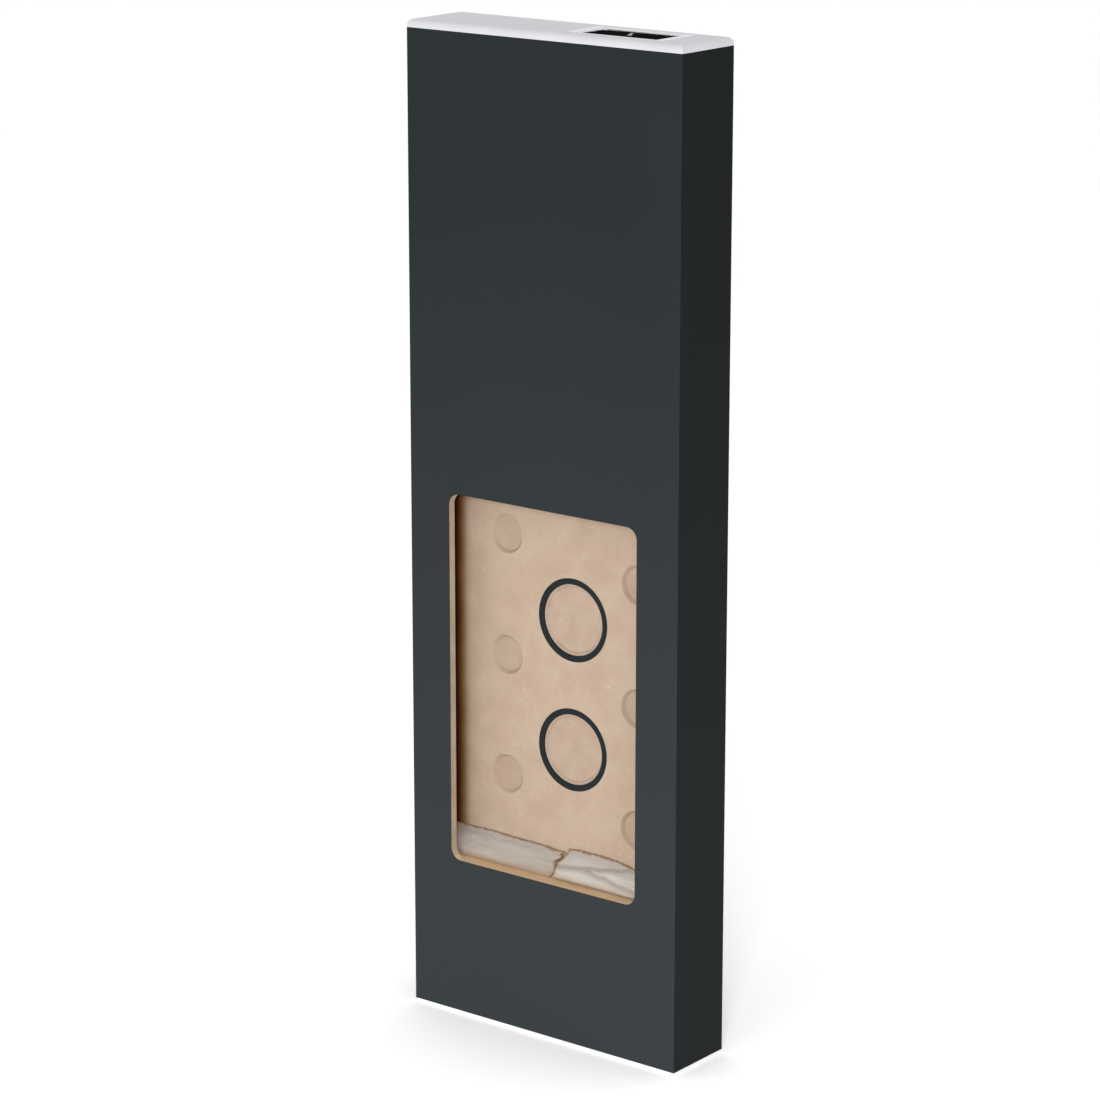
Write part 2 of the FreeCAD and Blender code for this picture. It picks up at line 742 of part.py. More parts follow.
def sealing_ring(aspect):
    """The flat black ring let into the plate round an aspect."""
    body = new_body(f"aspect_ring_{aspect}")
    sketch = flat_sketch(
        body, "XZ_Plane", "band", ("aspect_across", f"aspect_{aspect}", "-plate_face")
    )
    circle(sketch, "ring_width", "_outside")
    circle(sketch, "lens_width", "_inside")
    pad(body, sketch, "ring_deep", True)
    return keep(f"aspect_ring_{aspect}", body)


def diffuser_disc(aspect):
    """The disc inside the ring, set back a little, with a dished face and a centre mark."""
    body = new_body(f"aspect_disc_{aspect}")
    centre = ("aspect_across", f"aspect_{aspect}", "-disc_face")
    sketch = flat_sketch(body, "XZ_Plane", "face", centre)
    circle(sketch, "lens_width - 2 * fit_gap")
    pad(body, sketch, "disc_thick", True)
    dish = flat_sketch(body, "XZ_Plane", "dish", centre)
    circle(dish, "lens_width - 2 * fit_gap - 2 * disc_rim")
    pocket(body, dish, "disc_dish", lean="-dimple_slope")
    mark = flat_sketch(body, "XZ_Plane", "pip", centre)
    circle(mark, "pip_width")
    pocket(body, mark, "disc_dish + pip_deep")
    return keep(f"aspect_disc_{aspect}", body)


def cup_screw_set():
    """Four small screws hold each cup's flange to the plate."""
    made = []
    for aspect in ("upper", "lower"):
        for quarter in range(4):
            turn = math.radians(45 + 90 * quarter)
            across = f"aspect_across + cup_screw_circle / 2 * {math.cos(turn):.6f}"
            height = f"aspect_{aspect} + cup_screw_circle / 2 * {math.sin(turn):.6f}"
            made.append(
                pan_screw(
                    f"cup_screw_{aspect}_{quarter}",
                    (across, "plate_back + flange_thick", height),
                    "flange_thick + plate_thick / 2",
                    "-y",
                    "+y",
                )
            )
    return keep("cup_screws", group("cup_screws", made))


def led_cup(aspect, screws):
    """The housing behind an aspect: a collar in the plate, a flange and a short tube."""
    label = f"led_cup_{aspect}"
    body = join(
        label + "_solid",
        rod(
            label + "_collar",
            on_aspect(aspect, "disc_back"),
            "lens_width - 2 * fit_gap",
            "plate_back - disc_back + flange_thick",
            "+y",
        ),
        rod(label + "_flange", on_aspect(aspect, "plate_back"), "cup_flange", "flange_thick", "+y"),
        rod(label + "_tube", on_aspect(aspect, "plate_back"), "ring_width", "cup_deep", "+y"),
    )
    front_bore = rod(
        label + "_front_bore",
        on_aspect(aspect, "disc_back"),
        "lens_width - 2 * fit_gap - 2 * cup_wall",
        "plate_thick + cup_deep",
        "+y",
    )
    back_bore = rod(
        label + "_back_bore",
        on_aspect(aspect, "plate_back + flange_thick"),
        "ring_width - 2 * cup_wall",
        "cup_deep",
        "+y",
    )
    way = "+z" if aspect == "upper" else "-x"
    lead_bore = rod(
        label + "_lead_bore",
        ("aspect_across", "lead_plane", f"aspect_{aspect}"),
        "lead_width",
        "ring_width",
        way,
    )
    return keep(label, cut(label, body, front_bore, back_bore, lead_bore, screws))


def led_heatsink(aspect):
    """The finned disc that closes the cup and carries the LED board."""
    label = f"led_heatsink_{aspect}"
    parts = [
        rod(label + "_disc", on_aspect(aspect, "cup_back"), "ring_width", "sink_thick", "+y"),
        rod(
            label + "_spigot",
            on_aspect(aspect, "circuit_back"),
            "ring_width - 2 * cup_wall - 2 * fit_gap",
            "sink_spigot",
            "+y",
        ),
    ]
    for k in range(-2, 3):
        chord = math.sqrt(measure("ring_width") ** 2 / 4 - (measure("fin_pitch") * k) ** 2)
        shorter = chord / (measure("ring_width") / 2)
        parts.append(
            block(
                f"{label}_fin{k + 2}",
                (
                    f"aspect_across + fin_pitch * {k} - fin_thick / 2",
                    "cup_back + sink_thick",
                    f"aspect_{aspect} - 0.46 * ring_width * {shorter:.4f}",
                ),
                ("fin_thick", "fin_height", f"0.92 * ring_width * {shorter:.4f}"),
            )
        )
    return keep(label, join(label, *parts))


def led_board(aspect):
    """The round circuit board and its LEDs: one in the middle and two rings round it."""
    label = f"led_board_{aspect}"
    board = rod(label, on_aspect(aspect, "circuit_face"), "circuit_width", "circuit_thick", "+y")
    keep(label, board)
    lamps = []
    for ring, count in ((0, 1), (1, 6), (2, 12)):
        for k in range(count):
            turn = 2 * math.pi * k / count
            across = f"aspect_across + circuit_width * {0.19 * ring * math.cos(turn):.6f}"
            height = f"aspect_{aspect} + circuit_width * {0.19 * ring * math.sin(turn):.6f}"
            lamps.append(
                rod(
                    f"led_{aspect}_{ring}_{k}",
                    (across, "circuit_face - emitter_high", height),
                    "emitter_width",
                    "emitter_high",
                    "+y",
                )
            )
    return lamps


# ---------------------------------------------------------------- rear opening
def door_stops():
    """A bead up each side panel, a steel strip on it, and the screws that hold the beads."""
    beads, strips, screws = [], [], []
    for side, sign, way, back in (("left", "-", "-x", "+x"), ("right", "", "+x", "-x")):
        rims = {}
        for piece, wide, near, far in (
            ("bead", "bead_wide", "bead_face", "stop_face - strip_thick"),
            ("strip", "strip_wide", "stop_face - strip_thick", "stop_face"),
        ):
            inner, outer = f"{sign}(side_inside - {wide})", f"{sign}side_inside"
            low, high = (outer, inner) if sign else (inner, outer)
            rims[piece] = span(f"{piece}_{side}", (low, near, "rim_foot"), (high, far, "rim_head"))
        beads.append(rims["bead"])
        strips.append(rims["strip"])
        for n, share in enumerate((0.1, 0.5, 0.9)):
            at = (
                f"{sign}(side_inside - bead_wide)",
                "bead_face + bead_deep / 2",
                f"rim_foot + (rim_head - rim_foot) * {share}",
            )
            screws.append(
                pan_screw(f"bead_screw_{side}{n}", at, "bead_wide + board / 2", way, back)
            )
    screws = keep("bead_screws", group("bead_screws", screws))
    keep("stop_beads", cut("stop_beads", group("bead_blanks", beads), screws))
    keep("stop_strips", group("stop_strips", strips))
    return screws


def door_seal():
    """A flat rubber frame on the strips and on the rims of the cap and the base."""
    body = new_body("door_seal")
    sketch = flat_sketch(
        body, "XZ_Plane", "frame", ("0", "(door_foot + door_head) / 2", "-stop_face")
    )
    outer = "2 * (side_inside - seal_inset)"
    oblong(sketch, outer, "door_head - door_foot", "_outside")
    oblong(sketch, f"{outer} - 2 * seal_band", "rim_head - rim_foot", "_inside")
    pad(body, sketch, "seal_thick", True)
    return keep("door_seal", body)


def rear_door(housings):
    """A flat door that turns on two pins, with a full-round edge on the pivot side."""
    leaf = span(
        "door_leaf",
        ("-pivot_across", "door_inside", "door_foot"),
        ("side_inside - door_gap", "rear_face", "door_head"),
    )
    edge = rod(
        "door_edge",
        ("-pivot_across", "pivot_back", "door_foot"),
        "board",
        "door_head - door_foot",
    )
    tools = []
    for end, height, way in (("foot", "door_foot", "+z"), ("head", "door_head", "-z")):
        tools.append(
            rod(
                f"door_bore_{end}",
                ("-pivot_across", "pivot_back", height),
                "pivot_pin + 2 * running_gap + 2 * bush_wall",
                "pivot_length",
                way,
            )
        )
    for housing in housings:
        at = ("lock_across", "rear_face", housing)
        tools.append(rod(f"{housing}_door_seat", at, "lock_flange", "lock_flange_thick", "-y"))
        tools.append(rod(f"{housing}_door_bore", at, "lock_barrel", "board", "-y"))
    return keep("rear_door", cut("rear_door", join("door_blank", leaf, edge), *tools))


def pivots():
    """The two pins in the cap and the base, and the bushes that turn on them."""
    pins, bushes = [], []
    for end, root, height, way in (
        ("bottom", "base_rise - pin_root", "door_foot", "+z"),
        ("top", "panel_head + pin_root", "door_head", "-z"),
    ):
        at = ("-pivot_across", "pivot_back", root)
        length = "pin_root + door_end_gap + pivot_length"
        pins.append(rod(f"door_pin_{end}", at, "pivot_pin", length, way))
        bushes.append(
            tube(
                f"door_bush_{end}",
                ("-pivot_across", "pivot_back", height),
                "pivot_pin + 2 * running_gap + 2 * bush_wall",
                "pivot_pin + 2 * running_gap",
                "pivot_length",
                way,
            )
        )
    keep("door_pins", group("door_pins", pins))
    keep("door_bushes", group("door_bushes", bushes))


# ---------------------------------------------------------------- quarter-turn locks
def quarter_turn_lock(level, height):
    """A lock in the door: housing and nut stay with the door, plug, cam and screw turn."""
    prefix = f"lock_{level}"

    def at(depth):
        return ("lock_across", depth, height)

    barrel_run = "rear_face - barrel_end"
    housing = join(
        prefix + "_housing_solid",
        rod(prefix + "_flange", at("rear_face"), "lock_flange", "lock_flange_thick", "-y"),
        rod(prefix + "_barrel", at("rear_face"), "lock_barrel", barrel_run, "-y"),
    )
    bore = rod(
        prefix + "_bore", at("rear_face"), "plug_width + 2 * plug_gap", barrel_run, "-y"
    )
    housing = cut(prefix + "_housing", housing, bore)

    flats = named("Part::Prism", prefix + "_hexagon")
    flats.Polygon = 6
    bind(flats, "Circumradius", "nut_flats / 2 / cos(30)")
    bind(flats, "Height", "nut_thick")
    put(flats, at("door_inside"), TURNS["-y"].multiply(Rotation(Vector(0, 0, 1), 30)))
    thread = rod(prefix + "_thread", at("door_inside"), "lock_barrel", "nut_thick", "-y")
    nut = cut(prefix + "_nut", flats, thread)

    plug = rod(
        prefix + "_plug_round",
        at("cam_back"),
        "plug_width",
        "rear_face - plug_sink - cam_back",
        "+y",
    )
    square = block(
        prefix + "_square",
        ("lock_across - cam_square / 2", "cam_back - cam_thick", f"{height} - cam_square / 2"),
        ("cam_square", "cam_thick", "cam_square"),
    )
    key = block(
        prefix + "_key",
        (
            "lock_across - key_side / 2",
            "rear_face - plug_sink - key_deep",
            f"{height} - key_side / 2",
        ),
        ("key_side", "key_deep", "key_side"),
    )
    screw = pan_screw(
        prefix + "_cam_screw", at("cam_back - cam_thick"), "cam_thick + key_deep", "+y", "-y"
    )
    keep(prefix + "_cam_screw", screw)
    solid = join(prefix + "_plug_solid", plug, square)
    keep(prefix + "_plug", cut(prefix + "_plug", solid, key, screw))

    arm = block(
        prefix + "_arm",
        ("lock_across - cam_wide / 2", "cam_back - cam_thick", height),
        ("cam_wide", "cam_thick", "cam_reach"),
    )
    boss = rod(prefix + "_boss", at("cam_back - cam_thick"), "cam_wide", "cam_thick", "+y")
    cam = join(prefix + "_cam_solid", arm, boss)
    keep(prefix + "_cam", cut(prefix + "_cam", cam, square))
    return housing, nut


# ---------------------------------------------------------------- hatch and cable well
def on_hatch(across, back, height):
    return (f"hatch_across + ({across})", back, height)


def flap_pin_rod(label, width, length):
    return rod(
        label,
        on_hatch(f"-({length}) / 2", "flap_axis_back", "flap_axis_high"),
        width,
        length,
        "+x",
    )


def hatch():
    """The metal frame in the cap, its seal, and the flap that lifts on a pin at the rear."""
    body = new_body("hatch_frame_blank")
    flange = flat_sketch(body, "XY_Plane", "flange", on_hatch("0", "0", "cap_top"))
    oblong(flange, "hatch_width", "hatch_depth")
    pad(body, flange, "hatch_flange", True)
    collar = flat_sketch(body, "XY_Plane", "collar", on_hatch("0", "0", "cap_top"))
    oblong(collar, "collar_width", "collar_depth")
    pad(body, collar, "collar_drop", True)
    recess = flat_sketch(body, "XY_Plane", "recess", on_hatch("0", "0", "cap_top"))
    oblong(recess, "flap_width", "flap_depth")
    opening = pocket(body, recess, "cap_top - seal_top + flap_seal")
    top, reach = measure("cap_top"), measure("(hatch_width - 1) / 2")
    sides = [
        f"Edge{k}"
        for k, edge in enumerate(opening.Shape.Edges, 1)
        if abs(edge.CenterOfMass.z - top) < 0.01
        and abs(edge.CenterOfMass.x - measure("hatch_across")) < reach
        and abs(edge.CenterOfMass.y) < measure("(hatch_depth - 1) / 2")
    ]
    lip = body.newObject("PartDesign::Chamfer", "hatch_frame_lip")
    lip.Base = (opening, sides)
    bind(lip, "Size", "hatch_lip")
    doc.recompute()
    ledge = flat_sketch(body, "XY_Plane", "ledge", on_hatch("0", "0", "cap_top"))
    oblong(ledge, "ledge_width", "ledge_depth")
    pocket(body, ledge, "collar_drop")
    pin = flap_pin_rod("hatch_pin", "flap_pin", "flap_width + 2 * flap_pin_root")
    keep("hatch_pin", pin)
    keep("hatch_frame", cut("hatch_frame", body, pin))

    seal = new_body("hatch_seal")
    ring = flat_sketch(seal, "XY_Plane", "ring", on_hatch("0", "0", "seal_top"))
    oblong(ring, "flap_width - 2 * fit_gap", "flap_depth - 2 * fit_gap", "_outside")
    oblong(ring, "ledge_width", "ledge_depth", "_inside")
    pad(seal, ring, "flap_seal", True)
    keep("hatch_seal", seal)

    leaf = span(
        "flap_leaf",
        on_hatch("-flap_width / 2 + flap_gap", "-flap_depth / 2 + flap_gap", "flap_foot"),
        on_hatch("flap_width / 2 - flap_gap", "flap_axis_back", "flap_top"),
    )
    edge = flap_pin_rod("flap_edge", "flap_thick", "flap_width - 2 * flap_gap")
    bore = flap_pin_rod("flap_bore", "flap_pin + 2 * running_gap", "flap_width")
    keep("hatch_flap", cut("hatch_flap", join("flap_blank", leaf, edge), bore))

    body = new_body("hatch_tab")
    front = "-flap_depth / 2 + flap_gap + tab_back"
    fin = flat_sketch(
        body, "XZ_Plane", "fin", ("hatch_across + tab_across", "0", f"-({front})")
    )
    outline(
        fin,
        [
            ("-tab_wide / 2", "flap_top"),
            ("tab_wide / 2", "flap_top"),
            ("tab_wide / 2", "cap_top + tab_rise"),
            ("tab_wide / 2 - tab_crest", "cap_top + tab_rise"),
        ],
    )
    pad(body, fin, "tab_thick", True)
    keep("hatch_tab", body)


def cable_well():
    """A sheet-metal well under the hatch, with two cable glands in its floor and the terminals."""
    body = new_body("cable_well_blank")
    plan = flat_sketch(body, "XY_Plane", "plan", on_hatch("0", "0", "panel_head"))
    oblong(plan, "well_width", "well_depth")
    pad(body, plan, "well_high", True)
    tabs = flat_sketch(body, "XY_Plane", "tabs", on_hatch("0", "0", "panel_head"))
    oblong(tabs, "well_width + 2 * well_tab", "well_depth / 2")
    pad(body, tabs, "sheet", True)
    inside = flat_sketch(body, "XY_Plane", "inside", on_hatch("0", "0", "panel_head"))
    oblong(inside, "well_width - 2 * sheet", "well_depth - 2 * sheet")
    pocket(body, inside, "well_high - sheet")

    screws = []
    for k, across in enumerate(
        ("-(well_width + well_tab) / 2", "(well_width + well_tab) / 2")
    ):
        for n, back in enumerate(("-well_depth / 8", "well_depth / 8")):
            at = on_hatch(across, back, "panel_head - sheet")
            screws.append(
                pan_screw(f"well_screw_{k}{n}", at, "sheet + screw_bite", "+z", "-z")
            )
    screws = keep("well_screws", group("well_screws", screws))

    holes, glands = [], []
    for k, across in enumerate(("-gland_spread", "gland_spread")):
        at = on_hatch(across, "0", "well_floor")
        holes.append(rod(f"gland_hole_{k}", at, "gland_hole", "sheet"))
        below = along(at, "-z", "gland_high")
        solid = join(
            f"gland_solid_{k}",
            rod(f"gland_low_{k}", at, "gland_width", "gland_high", "-z"),
            rod(f"gland_neck_{k}", at, "gland_hole", "sheet"),
            rod(
                f"gland_high_{k}",
                along(at, "+z", "sheet"),
                "gland_width",
                "gland_high / 2",
            ),
        )
        bore = rod(
            f"gland_bore_{k}", below, "lead_width", "2 * gland_high + sheet"
        )
        glands.append(cut(f"gland_{k}", solid, bore))
    keep("cable_glands", group("cable_glands", glands))
    keep("cable_well", cut("cable_well", body, screws, *holes))

    terminals = []
    for k in range(5):
        low = on_hatch(
            f"terminal_wide * ({k} - 2.5)", "-terminal_deep / 2", "well_floor + sheet"
        )
        blank = block(
            f"terminal_blank_{k}",
            low,
            ("terminal_wide - fit_gap", "terminal_deep", "terminal_high"),
        )
        entry = rod(
            f"terminal_entry_{k}",
            on_hatch(
                f"terminal_wide * ({k} - 2) - fit_gap / 2",
                "terminal_deep / 4",
                "well_floor + sheet + terminal_high",
            ),
            "terminal_wide / 2",
            "terminal_high / 2",
            "-z",
        )
        terminals.append(cut(f"terminal_{k}", blank, entry))
    keep("terminal_block", group("terminal_block", terminals))
    return screws


# ---------------------------------------------------------------- electronics
def electronics():
    """The mounting rail on its two blocks, and the LED driver on the rail."""
    blocks = []
    for side, low, high in (
        ("left", "-side_inside", "-side_inside + batten_wide"),
        ("right", "side_inside - batten_wide", "side_inside"),
    ):
        blocks.append(
            span(
                f"rail_block_{side}",
                (low, "front_inside", "rail_height - rail_hat / 2"),
                (high, "front_inside + rail_block", "rail_height + rail_hat / 2"),
            )
        )
    keep("rail_blocks", group("rail_blocks", blocks))

    body = new_body("mounting_rail")
    profile = flat_sketch(
        body, "YZ_Plane", "profile", ("0", "rail_height", "-(side_inside - fit_gap)")
    )
    web = "front_inside + rail_block"
    edge, hat = "rail_wide / 2", "rail_hat / 2"
    inner_hat = "rail_hat / 2 - rail_sheet"
    outline(
        profile,
        [
            (web, f"-({hat})"),
            (web, hat),
            ("rail_back - rail_sheet", hat),
            ("rail_back - rail_sheet", edge),
            ("rail_back", edge),
            ("rail_back", inner_hat),
            (f"{web} + rail_sheet", inner_hat),
            (f"{web} + rail_sheet", f"-({inner_hat})"),
            ("rail_back", f"-({inner_hat})"),
            ("rail_back", f"-({edge})"),
            ("rail_back - rail_sheet", f"-({edge})"),
            ("rail_back - rail_sheet", f"-({hat})"),
        ],
    )
    pad(body, profile, "2 * (side_inside - fit_gap)")
    keep("mounting_rail", body)

    driver = new_body("led_driver")
    plan = flat_sketch(
        driver, "XY_Plane", "plan", ("0", "rail_back + driver_depth / 2", "driver_foot")
    )
    oblong(plan, "driver_width", "driver_depth")
    case = pad(driver, plan, "driver_height")
    rounded(driver, case, "board / 4", lambda edge: runs_along(edge, Vector(0, 0, 1)))
    keep("led_driver", driver)


def lead(label, route):
    """A round lead along straight runs joined by tangent arcs."""
    points = [Vector(*[measure(text) for text in point]) for point in route]
    edges, radii, start = [], [], points[0]
    for before, corner, after in zip(points, points[1:], points[2:]):
        back, ahead = before - corner, after - corner
        shorter = min(back.Length, ahead.Length)
        half_turn = (math.pi - back.getAngle(ahead)) / 2
        reach = 0.45 * shorter
        radii.append(reach / math.tan(half_turn))
        enter = corner + back * (reach / back.Length)
        leave = corner + ahead * (reach / ahead.Length)
        bisector = (back / back.Length + ahead / ahead.Length).normalize()
        sag = radii[-1] / math.cos(half_turn) - radii[-1]
        edges.append(Part.LineSegment(start, enter).toShape())
        edges.append(Part.Arc(enter, corner + bisector * sag, leave).toShape())
        start = leave
    edges.append(Part.LineSegment(start, points[-1]).toShape())
    path = Part.Wire(edges)
    radius = size("lead_width") / 2
    first = points[1] - points[0]
    ring = Part.Wire(Part.Circle(points[0], first, radius).toShape())
    shape = path.makePipeShell([ring], True, False)
    expected = math.pi * radius**2 * path.Length
    print(f"{label}: length {path.Length:.0f}, volume share {shape.Volume / expected:.4f}")
    print(f"{label}: radii {[round(r) for r in radii]}")
    thing = named("Part::Feature", label)
    thing.Shape = shape
    return keep(label, thing)


def leads():
    """Two leads run from the cups to the driver, and one from the driver to the terminals."""
    entry = "rail_back + driver_depth / 2"
    room = "(driver_foot - shelf_head)"
    at_shelf, above_shelf, below_driver = [
        f"shelf_head + {share} * {room}" for share in (0.155, 0.294, 0.58)
    ]
    lead(
        "lead_upper",
        [
            ("aspect_across", "lead_plane", "aspect_upper + ring_width / 2 - cup_wall"),
            ("aspect_across", "lead_plane", above_shelf),
            ("aspect_across - 3", entry, below_driver),
            ("aspect_across - 3", entry, "driver_foot"),
        ],
    )
    lead(
        "lead_lower",
        [
            ("aspect_across - ring_width / 2 + cup_wall", "lead_plane", "aspect_lower"),
            ("aspect_across - ring_width / 2 - 18", "lead_plane", "aspect_lower"),
            ("-60", "lead_plane", "aspect_lower + 40"),
            ("-60", "lead_plane", at_shelf),
            ("-28", entry, below_driver),
            ("-28", entry, "driver_foot"),
        ],
    )
    gland = "hatch_across - gland_spread"
    above = "(well_floor - gland_high - driver_head)"
    lead(
        "feed_lead",
        [
            ("20", entry, "driver_head"),
            ("20", entry, f"driver_head + 0.355 * {above}"),
            (gland, "0", f"driver_head + 0.685 * {above}"),
            (gland, "0", "well_floor + sheet + gland_high / 2"),
        ],
    )


# ---------------------------------------------------------------- assembly
def build():
    front_panel()
    bead_screws = door_stops()
    cap_screws = block_screws(
        "cap_screws", "rim_head - block_high", "block_high + cap_spigot + screw_bite", "+z"
    )
    base_screws = block_screws(
        "base_screws", "0", "rim_foot + block_high - screw_bite", "+z"
    )
    for label, side in (("side_panel_left", "-"), ("side_panel_right", "")):
        blank = side_panel(label + "_blank", side)
        keep(label, cut(label, blank, bead_screws))
    cap_blocks = glue_blocks("cap_blocks", "rim_head - block_high")
    keep("cap_blocks", cut("cap_blocks", cap_blocks, cap_screws))
    base_blocks = glue_blocks("base_blocks", "rim_foot")
    keep("base_blocks", cut("base_blocks", base_blocks, base_screws))
    keep("base_plate", cut("base_plate", base_plate(), base_screws))
    keep(
        "base_grommet",
        tube("base_grommet", ("0", "0", "0"), "cable_hole", "grommet_bore", "base_rise"),
    )

    plate_screws = []
    for k, across in enumerate(
        ("-side_inside + batten_wide / 2", "side_inside - batten_wide / 2")
    ):
        for n, share in enumerate((0.12, 0.5, 0.88)):
            at = (across, "plate_face", f"sill + plate_height * {share}")
            length = "plate_thick + batten_deep - screw_head_high"
            plate_screws.append(wood_screw(f"plate_screw_{k}{n}", at, length, "+y"))
    plate_screws = keep("plate_screws", group("plate_screws", plate_screws))
    for side, low, high in (
        ("left", "-side_inside", "-side_inside + batten_wide"),
        ("right", "side_inside - batten_wide", "side_inside"),
    ):
        blank = span(
            f"batten_{side}_blank",
            (low, "plate_back", "sill"),
            (high, "plate_back + batten_deep", "plate_head"),
        )
        keep(f"batten_{side}", cut(f"batten_{side}", blank, plate_screws))

    cup_screws = cup_screw_set()
    keep("inner_plate", cut("inner_plate", inner_plate(), plate_screws, cup_screws))
    lamps = []
    for aspect in ("upper", "lower"):
        sealing_ring(aspect)
        diffuser_disc(aspect)
        led_cup(aspect, cup_screws)
        led_heatsink(aspect)
        lamps += led_board(aspect)
    keep("led_emitters", group("led_emitters", lamps))
    keep("lower_shelf", shelf("lower_shelf", "sill - board"))
    holes = [
        rod("shelf_hole_upper", ("aspect_across", "lead_plane", "plate_head"), "lead_hole", "board"),
        rod("shelf_hole_lower", ("-60", "lead_plane", "plate_head"), "lead_hole", "board"),
    ]
    keep("upper_shelf", cut("upper_shelf", shelf("upper_shelf_blank", "plate_head"), *holes))
    wadding("wadding_left", "-side_inside", "wadding_split - split_gap / 2")
    wadding("wadding_right", "wadding_split + split_gap / 2", "side_inside")

    door_seal()
    locks = {"lower": "lock_low", "upper": "lock_low + lock_pitch"}
    rear_door(locks.values())
    pivots()
    fixed = [quarter_turn_lock(level, f"({height})") for level, height in locks.items()]
    keep("lock_housings", group("lock_housings", [housing for housing, nut in fixed]))
    keep("lock_nuts", group("lock_nuts", [nut for housing, nut in fixed]))

    hatch()
    well_screws = cable_well()
    keep("top_cap", cut("top_cap", top_cap(), cap_screws, well_screws))
    electronics()
    leads()
    doc.recompute()


def write():
    for thing in doc.Objects:
        if {"Invalid", "Error"} & set(thing.State):
            raise RuntimeError(f"{thing.Label} failed: {thing.State}")
    for label, thing in nodes.items():
        if thing.Shape.isNull() or not thing.Shape.isValid():
            raise RuntimeError(f"{label} has no valid shape")
    os.makedirs("parts", exist_ok=True)
    for label, thing in nodes.items():
        thing.Shape.exportStep(f"parts/{label}.step")
    print(len(nodes), "sub-parts")


build()
write()
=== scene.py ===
import math

import bmesh
import bpy
from mathutils import Matrix, Vector, noise


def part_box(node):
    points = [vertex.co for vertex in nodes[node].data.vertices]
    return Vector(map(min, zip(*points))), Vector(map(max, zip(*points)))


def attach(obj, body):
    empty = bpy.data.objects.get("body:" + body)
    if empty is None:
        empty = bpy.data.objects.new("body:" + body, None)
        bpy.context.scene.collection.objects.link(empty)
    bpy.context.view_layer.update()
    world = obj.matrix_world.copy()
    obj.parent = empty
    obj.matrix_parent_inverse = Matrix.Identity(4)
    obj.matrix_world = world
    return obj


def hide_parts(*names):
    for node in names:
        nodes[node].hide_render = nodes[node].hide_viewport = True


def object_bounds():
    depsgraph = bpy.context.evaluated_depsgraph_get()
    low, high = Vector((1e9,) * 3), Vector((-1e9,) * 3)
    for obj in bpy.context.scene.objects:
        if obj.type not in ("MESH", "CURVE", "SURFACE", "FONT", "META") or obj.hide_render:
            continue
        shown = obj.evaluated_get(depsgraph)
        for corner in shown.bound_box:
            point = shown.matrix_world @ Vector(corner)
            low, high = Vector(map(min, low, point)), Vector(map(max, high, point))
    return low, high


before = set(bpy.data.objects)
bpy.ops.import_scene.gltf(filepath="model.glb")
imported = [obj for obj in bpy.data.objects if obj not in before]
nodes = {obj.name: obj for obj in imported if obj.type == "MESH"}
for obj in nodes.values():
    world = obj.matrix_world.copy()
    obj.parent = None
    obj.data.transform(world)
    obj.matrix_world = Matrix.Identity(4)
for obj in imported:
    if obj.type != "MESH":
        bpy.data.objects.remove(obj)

# Slim two-aspect pedestrian signal. Metres, X across the front, -Y towards the viewer, Z up.
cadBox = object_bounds()
mm = 0.001
print("frame loaded")


def linear(hexColour):
    parts = [int(hexColour[k:k + 2], 16) / 255 for k in (1, 3, 5)]
    return [p / 12.92 if p <= 0.04045 else ((p + 0.055) / 1.055) ** 2.4 for p in parts] + [1]


def addNode(tree, kind, inputs=None, **settings):
    node = tree.nodes.new(kind)
    for name, value in settings.items():
        setattr(node, name, value)
    for socket, value in (inputs or {}).items():
        if isinstance(value, bpy.types.NodeSocket):
            tree.links.new(value, node.inputs[socket])
        else:
            node.inputs[socket].default_value = value
    return node


def perMetre(sizeMm):
    return 1000 / sizeMm    # noise scale that gives cells of this size


def startMaterial(name, look):
    material = bpy.data.materials.new(name)
    material.use_nodes = True
    tree = material.node_tree
    shader = tree.nodes["Principled BSDF"]
    shader.inputs["Base Color"].default_value = linear(look["colour"])
    shader.inputs["Roughness"].default_value = look.get("roughness", 0.5)
    shader.inputs["Metallic"].default_value = look.get("metallic", 0)
    shader.inputs["Specular IOR Level"].default_value = look.get("specular", 0.5)
    place = addNode(tree, "ShaderNodeTexCoord").outputs["Object"]
    return material, tree, shader, place


def blotch(tree, place, sizeMm, low, high, detail=2.0, stretch=(1, 1, 1), turn=(0, 0, 0)):
    # 0 to 1 where the noise climbs from low to high; stretch draws the cells out along an axis
    squeezed = addNode(tree, "ShaderNodeMapping", {
        "Vector": place, "Rotation": turn, "Scale": [1 / s for s in stretch]})
    cloud = addNode(tree, "ShaderNodeTexNoise", {
        "Vector": squeezed.outputs[0], "Scale": perMetre(sizeMm), "Detail": detail})
    return addNode(tree, "ShaderNodeMapRange", {
        "Value": cloud.outputs["Fac"], "From Min": low, "From Max": high}).outputs[0]


def tint(tree, share, under, over):
    # colours may be hex text or sockets
    under = linear(under) if isinstance(under, str) else under
    over = linear(over) if isinstance(over, str) else over
    return addNode(tree, "ShaderNodeMix", {0: share, 6: under, 7: over},
                   data_type="RGBA").outputs[2]


def maths(tree, operation, first, second=0.0):
    return addNode(tree, "ShaderNodeMath", {0: first, 1: second}, operation=operation).outputs[0]


def relief(tree, shader, height, deepMm, strength=1.0, under=None):
    inputs = {"Height": height, "Strength": strength, "Distance": deepMm * mm}
    if under is not None:
        inputs["Normal"] = under
    bump = addNode(tree, "ShaderNodeBump", inputs).outputs[0]
    tree.links.new(bump, shader.inputs["Normal"])
    return bump


def paint(material, *names):
    for name in names:
        slots = nodes[name].data.materials
        slots.clear()
        slots.append(material)


